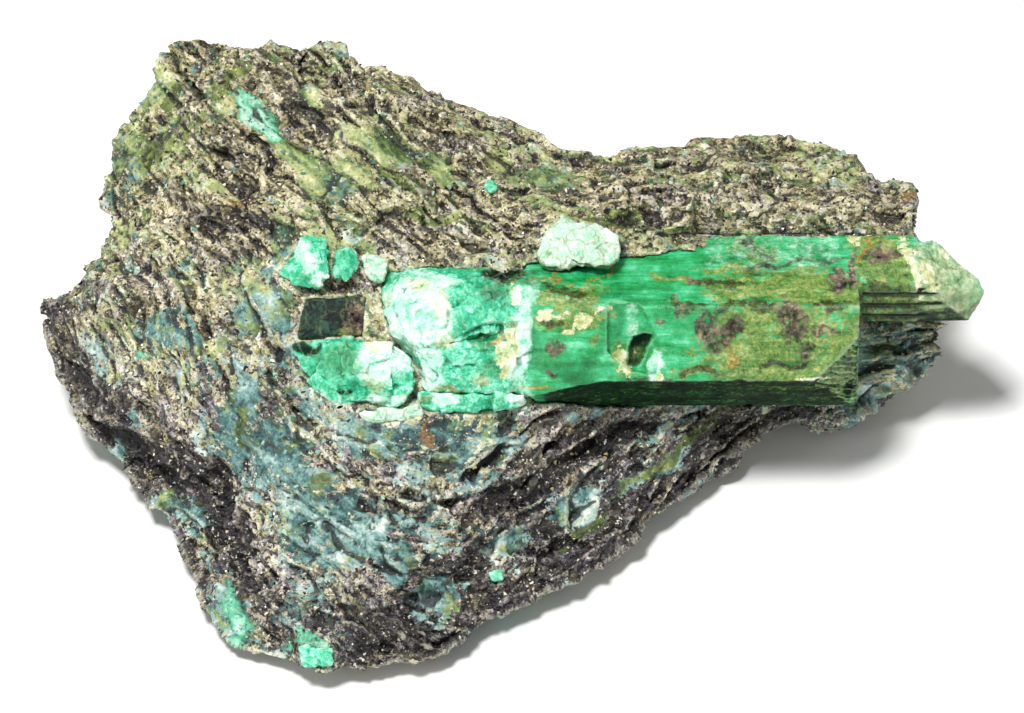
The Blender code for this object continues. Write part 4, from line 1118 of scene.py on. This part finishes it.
finishes = {
    "emerald, grown and splintered": {
        "grown": [(0.36, "#046c30"), (0.46, "#189c50"), (0.55, "#3ec080"), (0.66, "#90ecba")],
        "broken": [(0.36, "#088458"), (0.45, "#1fb482"), (0.54, "#58d8ac"), (0.63, "#bcf8e2")],
        "cellsPerMm": 0.5, "cells": 0.0, "cellColour": "#d6f5e2", "cracks": 0.12, "crackColour": "#eef7c8",
        "paintedEdgeHighlight": "#d9ffe6", "paintedCreviceShade": "#0b3f26", "gloss": 0.5, "glow": 0.25,
    },
    "pale beryl, crazed": {
        "grown": [(0.3, "#9fe6c6"), (0.5, "#d3f7e0"), (0.66, "#f8fff2")],
        "broken": [(0.36, "#86d8b0"), (0.46, "#bdeacb"), (0.54, "#e0f6e2"), (0.64, "#fdfff4")],
        "cellsPerMm": 0.6, "cells": 0.35, "cellColour": "#b8e0c0", "cracks": 0.7, "crackColour": "#8f9650",
        "paintedEdgeHighlight": "#ffffff", "paintedCreviceShade": "#6f8a4a", "gloss": 0.5, "glow": 0.25,
    },
    "dark beryl, glassy": {
        "grown": [(0.35, "#031008"), (0.5, "#0a2c1c"), (0.66, "#2a5a44")],
        "broken": [(0.4, "#010704"), (0.5, "#09251a"), (0.6, "#2a503c")],
        "cellsPerMm": 0.5, "cells": 0.0, "cellColour": "#7d8a62", "cracks": 0.25, "crackColour": "#8a8a5a",
        "paintedEdgeHighlight": "#5a6a50", "paintedCreviceShade": "#020503", "gloss": 0.2, "glow": 0.0,
    },
}

# each broken piece's finish, its slot, and the size and depth of its chips in millimetres
emeraldFinish, paleFinish, darkFinish = finishes
fragments = {
    "emerald_lower_wedge": (emeraldFinish, "emerald", 2.4, 0.7),
    "emerald_lower_band": (emeraldFinish, "emerald", 1.8, 0.5),
    "pale_rim_slab": (paleFinish, "pale_beryl", 1.4, 0.4),
    "dark_beryl": (darkFinish, "dark_beryl", 3.0, 0.15),
    "emerald_chip_west": (emeraldFinish, "emerald", 1.7, 0.5),
    "emerald_chip_east": (emeraldFinish, "emerald", 1.2, 0.35),
    "pale_beryl_chip": (paleFinish, "pale_beryl", 1.2, 0.35),
    "pale_beryl_block": (paleFinish, "pale_beryl", 1.5, 0.4),
    "emerald_foot_chip": (emeraldFinish, "emerald", 1.2, 0.35),
    "emerald_bead_north": (emeraldFinish, "emerald", 0.8, 0.12),
    "emerald_bead_south": (emeraldFinish, "emerald", 0.8, 0.12),
}


def makeBeryl():
    made = {name: berylMaterial(name, looks) for name, looks in finishes.items()}
    crystal = fineCopy("emerald_crystal", "emerald_crystal_carved", beryl["voxel"])
    carveCrystal(crystal)
    handIn(crystal, "emerald_crystal", made[emeraldFinish])
    print("emerald crystal:", len(crystal.data.polygons), "faces")
    for node, (finish, slot, size, depth) in fragments.items():
        piece = fineCopy(node, node + "_carved", beryl["smallVoxel"])
        carveFragment(piece, size, depth)
        handIn(piece, node, made[finish])
    print("broken beryl:", len(fragments), "pieces")


def crystalPlaces():  # to find how far any place on the stone is from the crystals
    corners = []
    for node in ["emerald_crystal", *fragments]:
        piece = fineCopy(node, "probe", 0.5)
        corners += list(readVectors(piece.data, "co"))
        bpy.data.meshes.remove(piece.data)
    tree = KDTree(len(corners))
    for i, corner in enumerate(corners):
        tree.insert(corner, i)
    tree.balance()
    return tree


target = makeCamera()
makeStudio(target)
stone = makeSchist(crystalPlaces())
makeLooseGrains(stone)
makeBeryl()
